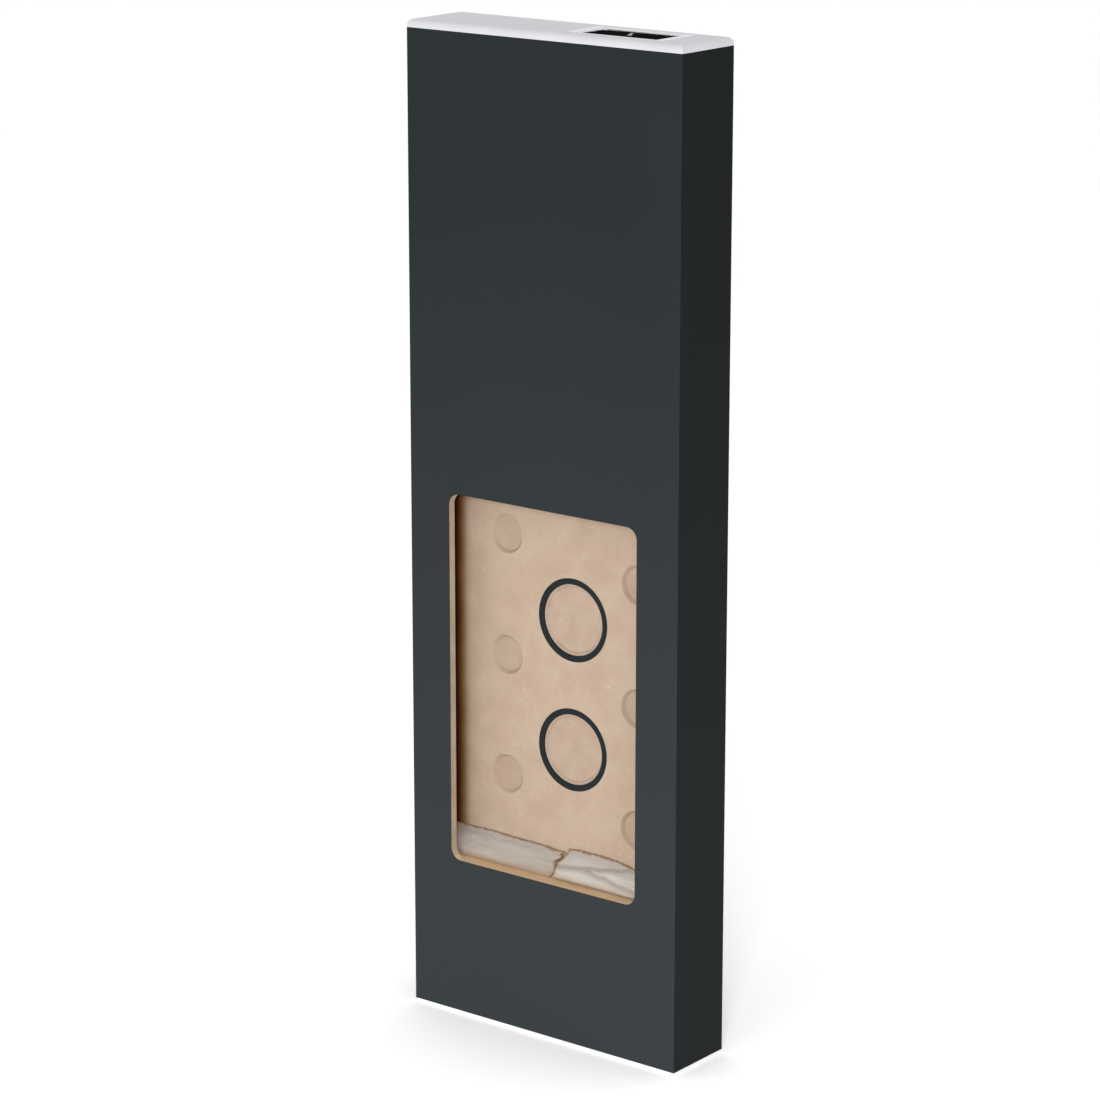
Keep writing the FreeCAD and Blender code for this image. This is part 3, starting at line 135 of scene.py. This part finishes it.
# Fibreboard, pressed from wood pulp: no grain, soft mottling, and short pale and dark fibres.
fibreBoard = {
    "colour": "#a3907e", "mottle": "#988471", "pale": "#b9a998", "dark": "#765f4a",
    "mottleMm": 30, "fineMottleMm": 7, "fibreMm": 1.3, "speckMm": 2.2,    # real fibres are 0.1 mm
    # cut is painted shade: the colour multiplied into the plate's recesses, from the first depth
    # to the full depth behind its face
    "cut": "#f5f4f3", "recessShadeFromMm": 0.5, "recessShadeFullMm": 3,
    "roughness": 0.9, "specular": 0.15,
}


def fibreColour(tree, place, look):
    broad = blotch(tree, place, look["mottleMm"], 0.4, 0.66, 3)
    colour = tint(tree, maths(tree, "MULTIPLY", broad, 0.6), look["colour"], look["mottle"])
    fine = blotch(tree, place, look["fineMottleMm"], 0.5, 0.72, 4)
    colour = tint(tree, maths(tree, "MULTIPLY", fine, 0.35), colour, look["mottle"])
    sparse = blotch(tree, place, 16, 0.46, 0.64, 2)
    for turn, share in ((0.5, 0.75), (-0.9, 0.6), (1.9, 0.6)):
        fibres = blotch(tree, place, look["fibreMm"], 0.68, 0.78, 1, (3.2, 3.2, 1), (0, turn, 0))
        fibres = maths(tree, "MULTIPLY", maths(tree, "MULTIPLY", fibres, share), sparse)
        colour = tint(tree, fibres, colour, look["pale"])
    specks = maths(tree, "MULTIPLY", blotch(tree, place, look["speckMm"], 0.74, 0.8, 2), 0.4)
    return tint(tree, specks, colour, look["dark"])


def fibreMaterial(name, look, shadeBands=None, face=0):
    material, tree, shader, place = startMaterial(name, look)
    colour = fibreColour(tree, place, look)
    if shadeBands:
        across, deep = addNode(tree, "ShaderNodeSeparateXYZ", {0: place}).outputs[:2]
        # painted shade: behind the plate's face, in its recesses, the board is painted darker with
        # depth
        recessShade = addNode(tree, "ShaderNodeMapRange", {
            "Value": deep, "From Min": face + look["recessShadeFromMm"] * mm,
            "From Max": face + look["recessShadeFullMm"] * mm}).outputs[0]
        colour = addNode(tree, "ShaderNodeMix", {0: recessShade, 6: colour, 7: linear(look["cut"])},
                         data_type="RGBA", blend_type="MULTIPLY").outputs[2]
        # painted shadow: the bands darken the plate towards its sides, behind the panel's margins
        wander = maths(tree, "MULTIPLY", blotch(tree, place, 60, 0.3, 0.7, 2), 2.5 * mm)
        fromSide = maths(tree, "ADD", maths(tree, "ABSOLUTE", across), wander)
        for shade, start, end in shadeBands:
            share = addNode(tree, "ShaderNodeMapRange", {
                "Value": fromSide, "From Min": start * mm, "From Max": end * mm},
                interpolation_type="SMOOTHSTEP").outputs[0]
            colour = addNode(tree, "ShaderNodeMix", {0: share, 6: colour, 7: linear(shade)},
                             data_type="RGBA", blend_type="MULTIPLY").outputs[2]
    tree.links.new(colour, shader.inputs["Base Color"])
    grit = blotch(tree, place, 1.4, 0.3, 0.7, 4)
    soft = blotch(tree, place, 14, 0.3, 0.7, 2)
    lower = relief(tree, shader, soft, 0.4, 0.3)
    relief(tree, shader, grit, 0.08, 0.5, lower)
    return material


# Painted shadow: the plate is painted dark brown behind the panel's margins, darkest at its very
# edge, where the margins shade it.
plateShadeBands = [("#d8c096", 117, 130), ("#a8803f", 121, 134), ("#602d07", 128, 139)]


# Anthracite lacquer on the board, rolled on matt: almost no gloss, a very fine tooth.
lacquer = {
    # side: painted shade, the factor that darkens the side panels' coat below the front's
    "colour": "#1c2122", "worn": "#212728", "side": 0.38, "roughness": 0.7, "specular": 0.08,
    "cloudMm": 160, "toothMm": 0.9,    # the real tooth is 0.2 mm
    "foot": "#34393b", "footLightTop": 0.85, "footLightShare": 0.6,    # the painted light at the foot fades out at this height
    # sill: painted light, the paler colour painted on the up-facing cut edges and the ledge
    "edge": "#a99884", "sill": "#c4a786", "edgeFleckMm": 1.2,
}


def lacquerMaterial(name, coatedSides, shadeFactor=1):
    # coatedSides builds a 0 to 1 mask from the surface's direction; the rest is bare board
    material, tree, shader, place = startMaterial(name, lacquer)
    facing = addNode(tree, "ShaderNodeSeparateXYZ", {
        0: addNode(tree, "ShaderNodeTexCoord").outputs["Normal"]}).outputs
    across = addNode(tree, "ShaderNodeSeparateXYZ", {0: place}).outputs[0]
    coated = coatedSides(tree, facing, across)
    cloud = blotch(tree, place, lacquer["cloudMm"], 0.35, 0.7, 3)
    coat = tint(tree, maths(tree, "MULTIPLY", cloud, 0.35), lacquer["colour"], lacquer["worn"])
    # painted light: the coat is paler towards the foot, standing in for light thrown up from the
    # floor
    footLight = addNode(tree, "ShaderNodeMapRange", {
        "Value": addNode(tree, "ShaderNodeSeparateXYZ", {0: place}).outputs[2],
        "From Min": lacquer["footLightTop"], "From Max": 0.0,
        "To Max": lacquer["footLightShare"]}).outputs[0]
    coat = tint(tree, footLight, coat, lacquer["foot"])
    # painted shade: the coat is darkened by this factor
    if shadeFactor != 1:
        coat = addNode(tree, "ShaderNodeMix", {0: 1.0, 6: coat, 7: [shadeFactor, shadeFactor, shadeFactor, 1]},
                       data_type="RGBA", blend_type="MULTIPLY").outputs[2]
    bareLook = dict(fibreBoard, colour=lacquer["edge"])
    bare = fibreColour(tree, place, bareLook)
    # painted light: the edge that faces up is painted paler board, as if lit from above
    bare = tint(tree, maths(tree, "GREATER_THAN", facing[2], 0.7), bare, lacquer["sill"])
    layers = blotch(tree, place, lacquer["edgeFleckMm"], 0.45, 0.75, 3, (1, 0.35, 1))
    bare = tint(tree, maths(tree, "MULTIPLY", layers, 0.35), bare, fibreBoard["dark"])
    tree.links.new(tint(tree, coated, bare, coat), shader.inputs["Base Color"])
    rough = addNode(tree, "ShaderNodeMapRange", {
        "Value": coated, "To Min": 0.9, "To Max": lacquer["roughness"]}).outputs[0]
    tree.links.new(rough, shader.inputs["Roughness"])
    tooth = blotch(tree, place, lacquer["toothMm"], 0.3, 0.7, 3)
    relief(tree, shader, tooth, 0.05, 0.35)
    return material


def frontOnly(tree, facing, across):
    return maths(tree, "LESS_THAN", facing[1], -0.5)


def outerAndRear(tree, facing, across):
    outward = maths(tree, "MULTIPLY", facing[0], maths(tree, "SIGN", across))
    return maths(tree, "MAXIMUM", maths(tree, "GREATER_THAN", outward, 0.5),
                 maths(tree, "GREATER_THAN", facing[1], 0.5))


def everywhere(tree, facing, across):
    return maths(tree, "GREATER_THAN", facing[1], -2)


paint(lacquerMaterial("lacquered board, cut edges bare", frontOnly), "front_panel")
# The side panels carry painted shade: their coat is darker than the front's.
paint(lacquerMaterial("lacquered board, bare inside", outerAndRear, lacquer["side"]),
      "side_panel_left", "side_panel_right")
paint(lacquerMaterial("lacquered board all round", everywhere), "rear_door")
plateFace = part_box("inner_plate")[0].y
paint(fibreMaterial("pressed fibreboard, painted shade", fibreBoard, plateShadeBands, plateFace),
      "inner_plate")
# painted light: the ledge under the wadding is painted pale like the sill, lifting the shade in
# its trough
ledgeBoard = dict(fibreBoard, colour=lacquer["sill"], mottle="#b4966f")
paint(fibreMaterial("pressed fibreboard, painted light", ledgeBoard), "lower_shelf")
paint(fibreMaterial("pressed fibreboard", fibreBoard), "upper_shelf",
      "batten_left", "batten_right", "cap_blocks", "base_blocks", "rail_blocks", "stop_beads")
print("boards painted")


# Cap and base: white ABS, vacuum formed and satin, so the softened edge takes a clean highlight.
# The base is a paler copy of the cap's ABS: painted light, standing in for light from the floor.
satinAbs = {"colour": "#b8b8bc", "shade": "#adadb3", "roughness": 0.42, "specular": 0.3,
            "cloudMm": 55, "peelMm": 2.2}
floorLitAbs = dict(satinAbs, colour="#e8e8ea", shade="#dfdfe2")


def absMaterial(name, look):
    material, tree, shader, place = startMaterial(name, look)
    cloud = blotch(tree, place, look["cloudMm"], 0.4, 0.7, 2)
    colour = tint(tree, maths(tree, "MULTIPLY", cloud, 0.5), look["colour"], look["shade"])
    tree.links.new(colour, shader.inputs["Base Color"])
    relief(tree, shader, blotch(tree, place, look["peelMm"], 0.3, 0.7, 1), 0.03, 0.3)
    return material


# Moulded black parts: fine spark texture, dull except at grazing light.
mouldedBlack = {"colour": "#060607", "pale": "#0b0b0d", "roughness": 0.8, "specular": 0.08,
                "sparkMm": 0.8}


def mouldedMaterial(name, look):
    material, tree, shader, place = startMaterial(name, look)
    cloud = blotch(tree, place, 12, 0.35, 0.7, 3)
    tree.links.new(tint(tree, cloud, look["colour"], look["pale"]), shader.inputs["Base Color"])
    spark = blotch(tree, place, look["sparkMm"], 0.3, 0.7, 2)
    relief(tree, shader, spark, 0.06, 0.45)
    return material


# The flap is flocked on top, so it stays black in any light.
flockedBlack = dict(mouldedBlack, colour="#030303", pale="#060607", roughness=1, specular=0.01)


# EPDM rubber: blue-black, chalky, with a faint bloom of dust.
epdm = {"colour": "#11181a", "bloom": "#1d2527", "roughness": 0.78, "specular": 0.2}


def rubberMaterial():
    material, tree, shader, place = startMaterial("EPDM rubber", epdm)
    bloom = maths(tree, "MULTIPLY", blotch(tree, place, 7, 0.45, 0.8, 4), 0.5)
    tree.links.new(tint(tree, bloom, epdm["colour"], epdm["bloom"]), shader.inputs["Base Color"])
    relief(tree, shader, blotch(tree, place, 0.9, 0.3, 0.7, 3), 0.05, 0.5)
    return material


# Opal diffuser, unlit: pulp-filled beige resin that carries the same fibres as the board.
opalDisc = dict(fibreBoard, colour="#9f8c7b", mottle="#958170", mottleMm=17, roughness=0.8,
                specular=0.2)

satinAluminium = {"colour": "#c9cacd", "pale": "#dcdde0", "roughness": 0.34, "metallic": 1,
                  "lineMm": 0.5}
zincSteel = {"colour": "#a9adb0", "pale": "#c6c8c6", "roughness": 0.36, "metallic": 1,
             "lineMm": 1.4}
brightChrome = {"colour": "#d9dadd", "pale": "#e6e6e8", "roughness": 0.1, "metallic": 1,
                "lineMm": 2.5}
turnedBrass = {"colour": "#b08d4c", "pale": "#c7a765", "roughness": 0.3, "metallic": 1,
               "lineMm": 0.6}


def metalMaterial(name, look, stretch):
    # fine lines or spangle from the way the metal was made, drawn out along stretch
    material, tree, shader, place = startMaterial(name, look)
    lines = blotch(tree, place, look["lineMm"], 0.3, 0.7, 3, stretch)
    tree.links.new(tint(tree, lines, look["colour"], look["pale"]), shader.inputs["Base Color"])
    rough = addNode(tree, "ShaderNodeMapRange", {
        "Value": lines, "To Min": look["roughness"] * 0.85, "To Max": look["roughness"] * 1.2})
    tree.links.new(rough.outputs[0], shader.inputs["Roughness"])
    relief(tree, shader, lines, 0.02, 0.25)
    return material


# White solder mask over copper: tracks show as a slightly raised, greyer net.
solderMask = {"colour": "#dfe3de", "track": "#b9c2b6", "roughness": 0.32, "cellMm": 7}


def boardMaterial():
    material, tree, shader, place = startMaterial("white solder mask", solderMask)
    cells = addNode(tree, "ShaderNodeTexVoronoi", {
        "Vector": place, "Scale": perMetre(solderMask["cellMm"]), "Randomness": 0.2},
        feature="DISTANCE_TO_EDGE").outputs[0]
    gap = addNode(tree, "ShaderNodeMapRange", {
        "Value": cells, "From Min": 0.06, "From Max": 0.1}).outputs[0]
    tree.links.new(tint(tree, gap, solderMask["track"], solderMask["colour"]),
                   shader.inputs["Base Color"])
    relief(tree, shader, gap, 0.05, 0.5)
    return material


lensResin = {"colour": "#e8d27a", "pale": "#f2e6a8", "roughness": 0.15, "sparkMm": 1.5}
greyPolyamide = {"colour": "#7d8286", "pale": "#8b9094", "roughness": 0.5, "sparkMm": 0.9}
cableSheath = {"colour": "#1c1c1f", "pale": "#26262a", "roughness": 0.55, "sparkMm": 1.6}

paint(absMaterial("satin ABS, cap", satinAbs), "top_cap")
paint(absMaterial("satin ABS, painted light", floorLitAbs), "base_plate")
black = mouldedMaterial("moulded black polyamide", mouldedBlack)
paint(black, "led_cup_upper", "led_cup_lower", "cable_glands")
paint(mouldedMaterial("flocked black polyamide", flockedBlack), "hatch_flap")
paint(rubberMaterial(), "aspect_ring_upper", "aspect_ring_lower", "door_seal", "hatch_seal",
      "base_grommet")
paint(fibreMaterial("unlit opal resin", opalDisc), "aspect_disc_upper", "aspect_disc_lower")
aluminium = metalMaterial("satin anodised aluminium", satinAluminium, (14, 1, 1))
paint(aluminium, "hatch_frame", "led_heatsink_upper", "led_heatsink_lower", "led_driver")
zinc = metalMaterial("bright zinc on steel", zincSteel, (1, 1, 3))
paint(zinc, "bead_screws", "cup_screws", "well_screws", "cap_screws", "base_screws",
      "plate_screws", "stop_strips", "cable_well", "mounting_rail",
      "door_pins", "hatch_pin", "lock_nuts", "lock_upper_cam", "lock_lower_cam",
      "lock_upper_cam_screw", "lock_lower_cam_screw")
chrome = metalMaterial("bright chrome plate", brightChrome, (1, 1, 1))
paint(chrome, "lock_housings", "lock_upper_plug", "lock_lower_plug", "hatch_tab")
paint(metalMaterial("turned brass", turnedBrass, (6, 6, 1)), "door_bushes")
paint(boardMaterial(), "led_board_upper", "led_board_lower")
paint(mouldedMaterial("clear resin over phosphor", lensResin), "led_emitters")
paint(mouldedMaterial("grey polyamide", greyPolyamide), "terminal_block")
paint(mouldedMaterial("PVC cable sheath", cableSheath), "lead_upper", "lead_lower", "feed_lead")
print("fittings painted")


# Wadding: torn cellulose batting on a brown paper facing, soft and dull, with faint long fibres.
# It leans on the plate as a wedge: deep at its foot, thin at its upper edge.
wadding = {
    "columns": 170, "rows": 30, "layers": 8,
    # mm, but for tuckHigh, a share of the height: depth at the foot, at the top, tucked under
    "deep": 18.4, "rim": 0.9, "tuck": 0.7, "tuckHigh": 0.07,
    "fold": 1.1, "foldLong": 48, "foldHigh": 9, "tuft": 0.75, "tuftLong": 9, "tuftHigh": 2.4,
    "frayLong": 3.2, "fray": 1.0, "tear": 1.5, "tearReach": 14, "tearThin": 2.2,
    # foot and crease are painted shade: darker brown at the foot and at the left end, darker in
    # the creases
    "colour": "#968b81", "shade": "#83776b", "white": "#aaa49d", "brown": "#7d5a30",
    "foot": "#8a6f52", "crease": "#76695c", "marks": ("white", "crease", "foot", "brown"),
    "roughness": 0.96, "specular": 0.06, "fibreMm": 0.8,
}
strips = {
    # mm. top: height above the sill along X. tear: the torn end's X at shares of the height.
    "wadding_strip_left": {
        "node": "wadding_left", "far": -155, "seed": 3.1, "folds": [], "white": 0.25,
        "top": [(-155, 25.6), (-118, 25.6), (-90, 26.1), (-60, 25.0), (-30, 24.6), (0, 22.8),
                (10, 22.8)],
        "tear": [(0, -2.5), (0.25, 1.5), (0.5, -0.5), (0.65, -2), (0.8, 2.5), (0.9, 0), (1, 3)],
    },
    "wadding_strip_right": {
        "node": "wadding_right", "far": 155, "seed": 7.7, "white": 0.45,
        "top": [(-2, 27.0), (12, 27.6), (25, 28.4), (55, 28.3), (70, 27.2), (80, 25.6), (92, 22.2),
                (110, 20.5), (155, 21)],
        "tear": [(0, 0), (0.25, 4), (0.5, 2), (0.7, 7.5), (0.9, 10), (1, 13)],
        # folds: two ends in X and height above the sill, depth, width, and how far the layer
        # below the fold stands out
        "folds": [((-2, 10.2), (100, 24.0), 1.5, 1.5, 2.6), ((30, 15.8), (104, 5.6), 2.6, 1.9, 0)],
    },
}


def waddingMaterial():
    material, tree, shader, place = startMaterial("torn batting", wadding)
    shader.inputs["Sheen Weight"].default_value = 0.2
    shader.inputs["Sheen Roughness"].default_value = 0.7
    broad = blotch(tree, place, 9, 0.35, 0.7, 3, (5, 1, 1), (0, 0.08, 0))
    fine = blotch(tree, place, wadding["fibreMm"], 0.45, 0.8, 3, (14, 1, 1), (0, -0.1, 0))
    colour = tint(tree, broad, wadding["shade"], wadding["colour"])
    marks = {name: addNode(tree, "ShaderNodeAttribute", attribute_name=name).outputs["Fac"]
             for name in wadding["marks"]}
    colour = tint(tree, marks["white"], colour, wadding["white"])
    colour = tint(tree, maths(tree, "MULTIPLY", fine, 0.3), colour, wadding["white"])
    # painted shade in the creases and at the foot
    colour = tint(tree, marks["crease"], colour, wadding["crease"])
    colour = tint(tree, marks["foot"], colour, wadding["foot"])
    colour = tint(tree, marks["brown"], colour, wadding["brown"])
    tree.links.new(colour, shader.inputs["Base Color"])
    lower = relief(tree, shader, broad, 0.5, 0.4)
    relief(tree, shader, fine, 0.15, 0.5, lower)
    return material


def wool(*place):
    return noise.noise(Vector(place))


def between(knots, at):
    # a smooth line through (place, value) pairs
    for (start, low), (end, high) in zip(knots, knots[1:]):
        if at <= end or (end, high) == knots[-1]:
            share = min(1, max(0, (at - start) / (end - start)))
            return low + (high - low) * share * share * (3 - 2 * share)


def ease(share):
    share = min(1, max(0, share))
    return share * share * (3 - 2 * share)


def foldAt(folds, x, z):
    # how far the folds push the face out at a place, in mm, whether it lies below the first,
    # and how near it is to a crease
    out, below, crease = 0, 0, 0
    for (x0, z0), (x1, z1), deep, wide, step in folds:
        line = z0 + (z1 - z0) * min(1.3, max(0, (x - x0) / (x1 - x0)))
        line += wool(x / 14, 2.5, 0) * 1.2
        fade = ease((x - x0) / 12) * ease((x1 + 40 - x) / 30) if step == 0 else ease((x - x0) / 8)
        dip = fade * math.exp(-((z - line - 0.4 * wide) / wide) ** 2)
        out -= deep * dip
        crease = max(crease, dip)
        out += step * fade * ease((line - z) / 2.2)
        if step:
            below = fade * ease((line - z) / 1.5)
    return out, below, crease


def tornStrip(name, strip, material):
    low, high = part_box(strip["node"])
    back, sill, seed = high.y / mm, low.z / mm, strip["seed"]
    torn = 1 if strip["far"] < 0 else -1    # the torn end is on the right of the left strip
    mesh = bmesh.new()
    bmesh.ops.create_cube(mesh, size=1)
    for axis, cuts in ((0, "columns"), (2, "rows"), (1, "layers")):
        along = [e for e in mesh.edges
                 if abs((e.verts[0].co - e.verts[1].co)[axis]) > 0.5]
        bmesh.ops.subdivide_edges(mesh, edges=along, cuts=wadding[cuts], use_grid_fill=True)
    marks = {mark: mesh.verts.layers.float.new(mark) for mark in wadding["marks"]}
    paperEnd = (high.x if torn > 0 else low.x) / mm
    for vert in mesh.verts:
        u, v, w = [c + 0.5 for c in vert.co]    # 0 to 1: left to right, front to back, up
        facing = ease((v - 0.8) / 0.15)    # the paper at the back isn't torn as far
        end = between(strip["tear"], w) * (1 - facing) + paperEnd * facing
        share = u if torn > 0 else 1 - u
        x = strip["far"] + (end - strip["far"]) * share
        near = ease(1 - abs(end - x) / wadding["tearReach"]) * (1 - facing)
        jagged = wool(v * 4, w * 6, seed) + 0.6 * wool(v * 9, w * 19, seed)
        x += near ** 2 * wadding["tear"] * jagged
        height = between(strip["top"], x)
        z = height * w
        if w > 0.85:
            ragged = wool(x / wadding["frayLong"], v * 2, seed) + 0.8 * wool(x / 1.6, v * 3, seed)
            z += (w - 0.85) / 0.15 * ragged * wadding["fray"]
        depth = wadding["rim"] + wadding["deep"] * (1 - w ** 1.8) ** 0.95
        depth -= wadding["tuck"] * math.exp(-w / wadding["tuckHigh"])
        out, below, crease = foldAt(strip["folds"], x, z)
        soft = ease(w / 0.15) * ease((1.02 - w) / 0.12)
        out += wadding["fold"] * wool(x / wadding["foldLong"], seed, z / wadding["foldHigh"])
        out += wadding["tuft"] * wool(x / wadding["tuftLong"], seed + 9, z / wadding["tuftHigh"])
        out -= near ** 3 * wadding["tearThin"]
        y = back - (1 - v) * max(0.5, depth + out * soft)
        vert[marks["white"]] = strip["white"] + (0.75 - strip["white"]) * below
        # painted shade: the crease mark darkens the creases; the foot mark darkens the foot and
        # the left end behind the panel's margin
        footShade = 1 - ease((w + 0.05 * wool(x / 12, 0, seed)) / 0.3)
        vert[marks["crease"]] = 0.55 * crease * soft
        vert[marks["foot"]] = 0.85 * max(footShade, 1 - ease((x + 136) / 18))
        crest = ease((w - 0.955 + 0.03 * wool(x / 7, 5, seed)) / 0.03)
        vert[marks["brown"]] = max(crest, facing, 0.7 * ease((near - 0.93) / 0.07))
        vert.co = Vector((x * mm, y * mm, (sill + max(0, z)) * mm))
    data = bpy.data.meshes.new(name)
    mesh.to_mesh(data)
    mesh.free()
    for face in data.polygons:
        face.use_smooth = True
    piece = bpy.data.objects.new(name, data)
    bpy.context.scene.collection.objects.link(piece)
    data.materials.append(material)
    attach(piece, "case")
    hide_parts(strip["node"])


batting = waddingMaterial()
for name, strip in strips.items():
    tornStrip(name, strip, batting)
print("wadding torn")


# Studio: one pale floor, a white surround, a broad key from the front and a low fill.
studio = {
    "floor": "#fbfbfb", "floorSize": 60, "surround": "#ffffff", "surroundPower": 1.04,
    "lamps": {
        "key": {"power": 50, "size": 0.55, "turn": 36, "rise": 18, "far": 3.2, "aim": 0.4},
        "fill": {"power": 5, "size": 0.6, "turn": 4, "rise": 4, "far": 1.3, "aim": 0.12},
    },
}


def addLamp(name, look):
    # turned to the right of the front and raised above level, as seen from a point on the front
    turn, rise = math.radians(look["turn"]), math.radians(look["rise"])
    aim = Vector((0, cadBox[0][1], look["aim"]))
    lamp = bpy.data.lights.new(name, "AREA")
    lamp.size = look["size"]
    lamp.energy = look["power"]
    lit = bpy.data.objects.new(name, lamp)
    lit.location = aim + look["far"] * Vector((
        math.sin(turn) * math.cos(rise), -math.cos(turn) * math.cos(rise), math.sin(rise)))
    lit.rotation_euler = (aim - lit.location).to_track_quat("-Z", "Y").to_euler()
    bpy.context.scene.collection.objects.link(lit)


def addStudio():
    floorMesh = bmesh.new()
    bmesh.ops.create_grid(floorMesh, x_segments=1, y_segments=1, size=studio["floorSize"] / 2)
    data = bpy.data.meshes.new("floor")
    floorMesh.to_mesh(data)
    floorMesh.free()
    floor = bpy.data.objects.new("floor", data)
    bpy.context.scene.collection.objects.link(floor)
    material, tree, shader, place = startMaterial("pale floor", {
        "colour": studio["floor"], "roughness": 0.9, "specular": 0.1})
    floor.data.materials.append(material)
    world = bpy.data.worlds.new("surround")
    world.use_nodes = True
    background = world.node_tree.nodes["Background"]
    background.inputs["Color"].default_value = linear(studio["surround"])
    background.inputs["Strength"].default_value = studio["surroundPower"]
    bpy.context.scene.world = world
    for name, look in studio["lamps"].items():
        addLamp(name, look)


# A long lens, from the right of the front and well above the middle.
view = {"place": (2.1968, -2.8244, 1.4366), "turn": 38.136, "down": 14.759, "lens": 124.84}


def addCamera():
    lens = bpy.data.cameras.new("camera")
    lens.sensor_width = 36
    lens.lens = view["lens"]
    lens.clip_end = 200
    camera = bpy.data.objects.new("camera", lens)
    camera.location = view["place"]
    camera.rotation_euler = (math.radians(90 - view["down"]), 0, math.radians(view["turn"]))
    bpy.context.scene.collection.objects.link(camera)
    bpy.context.scene.camera = camera


addStudio()
addCamera()
bpy.context.scene.view_settings.view_transform = "Standard"
print("studio ready")
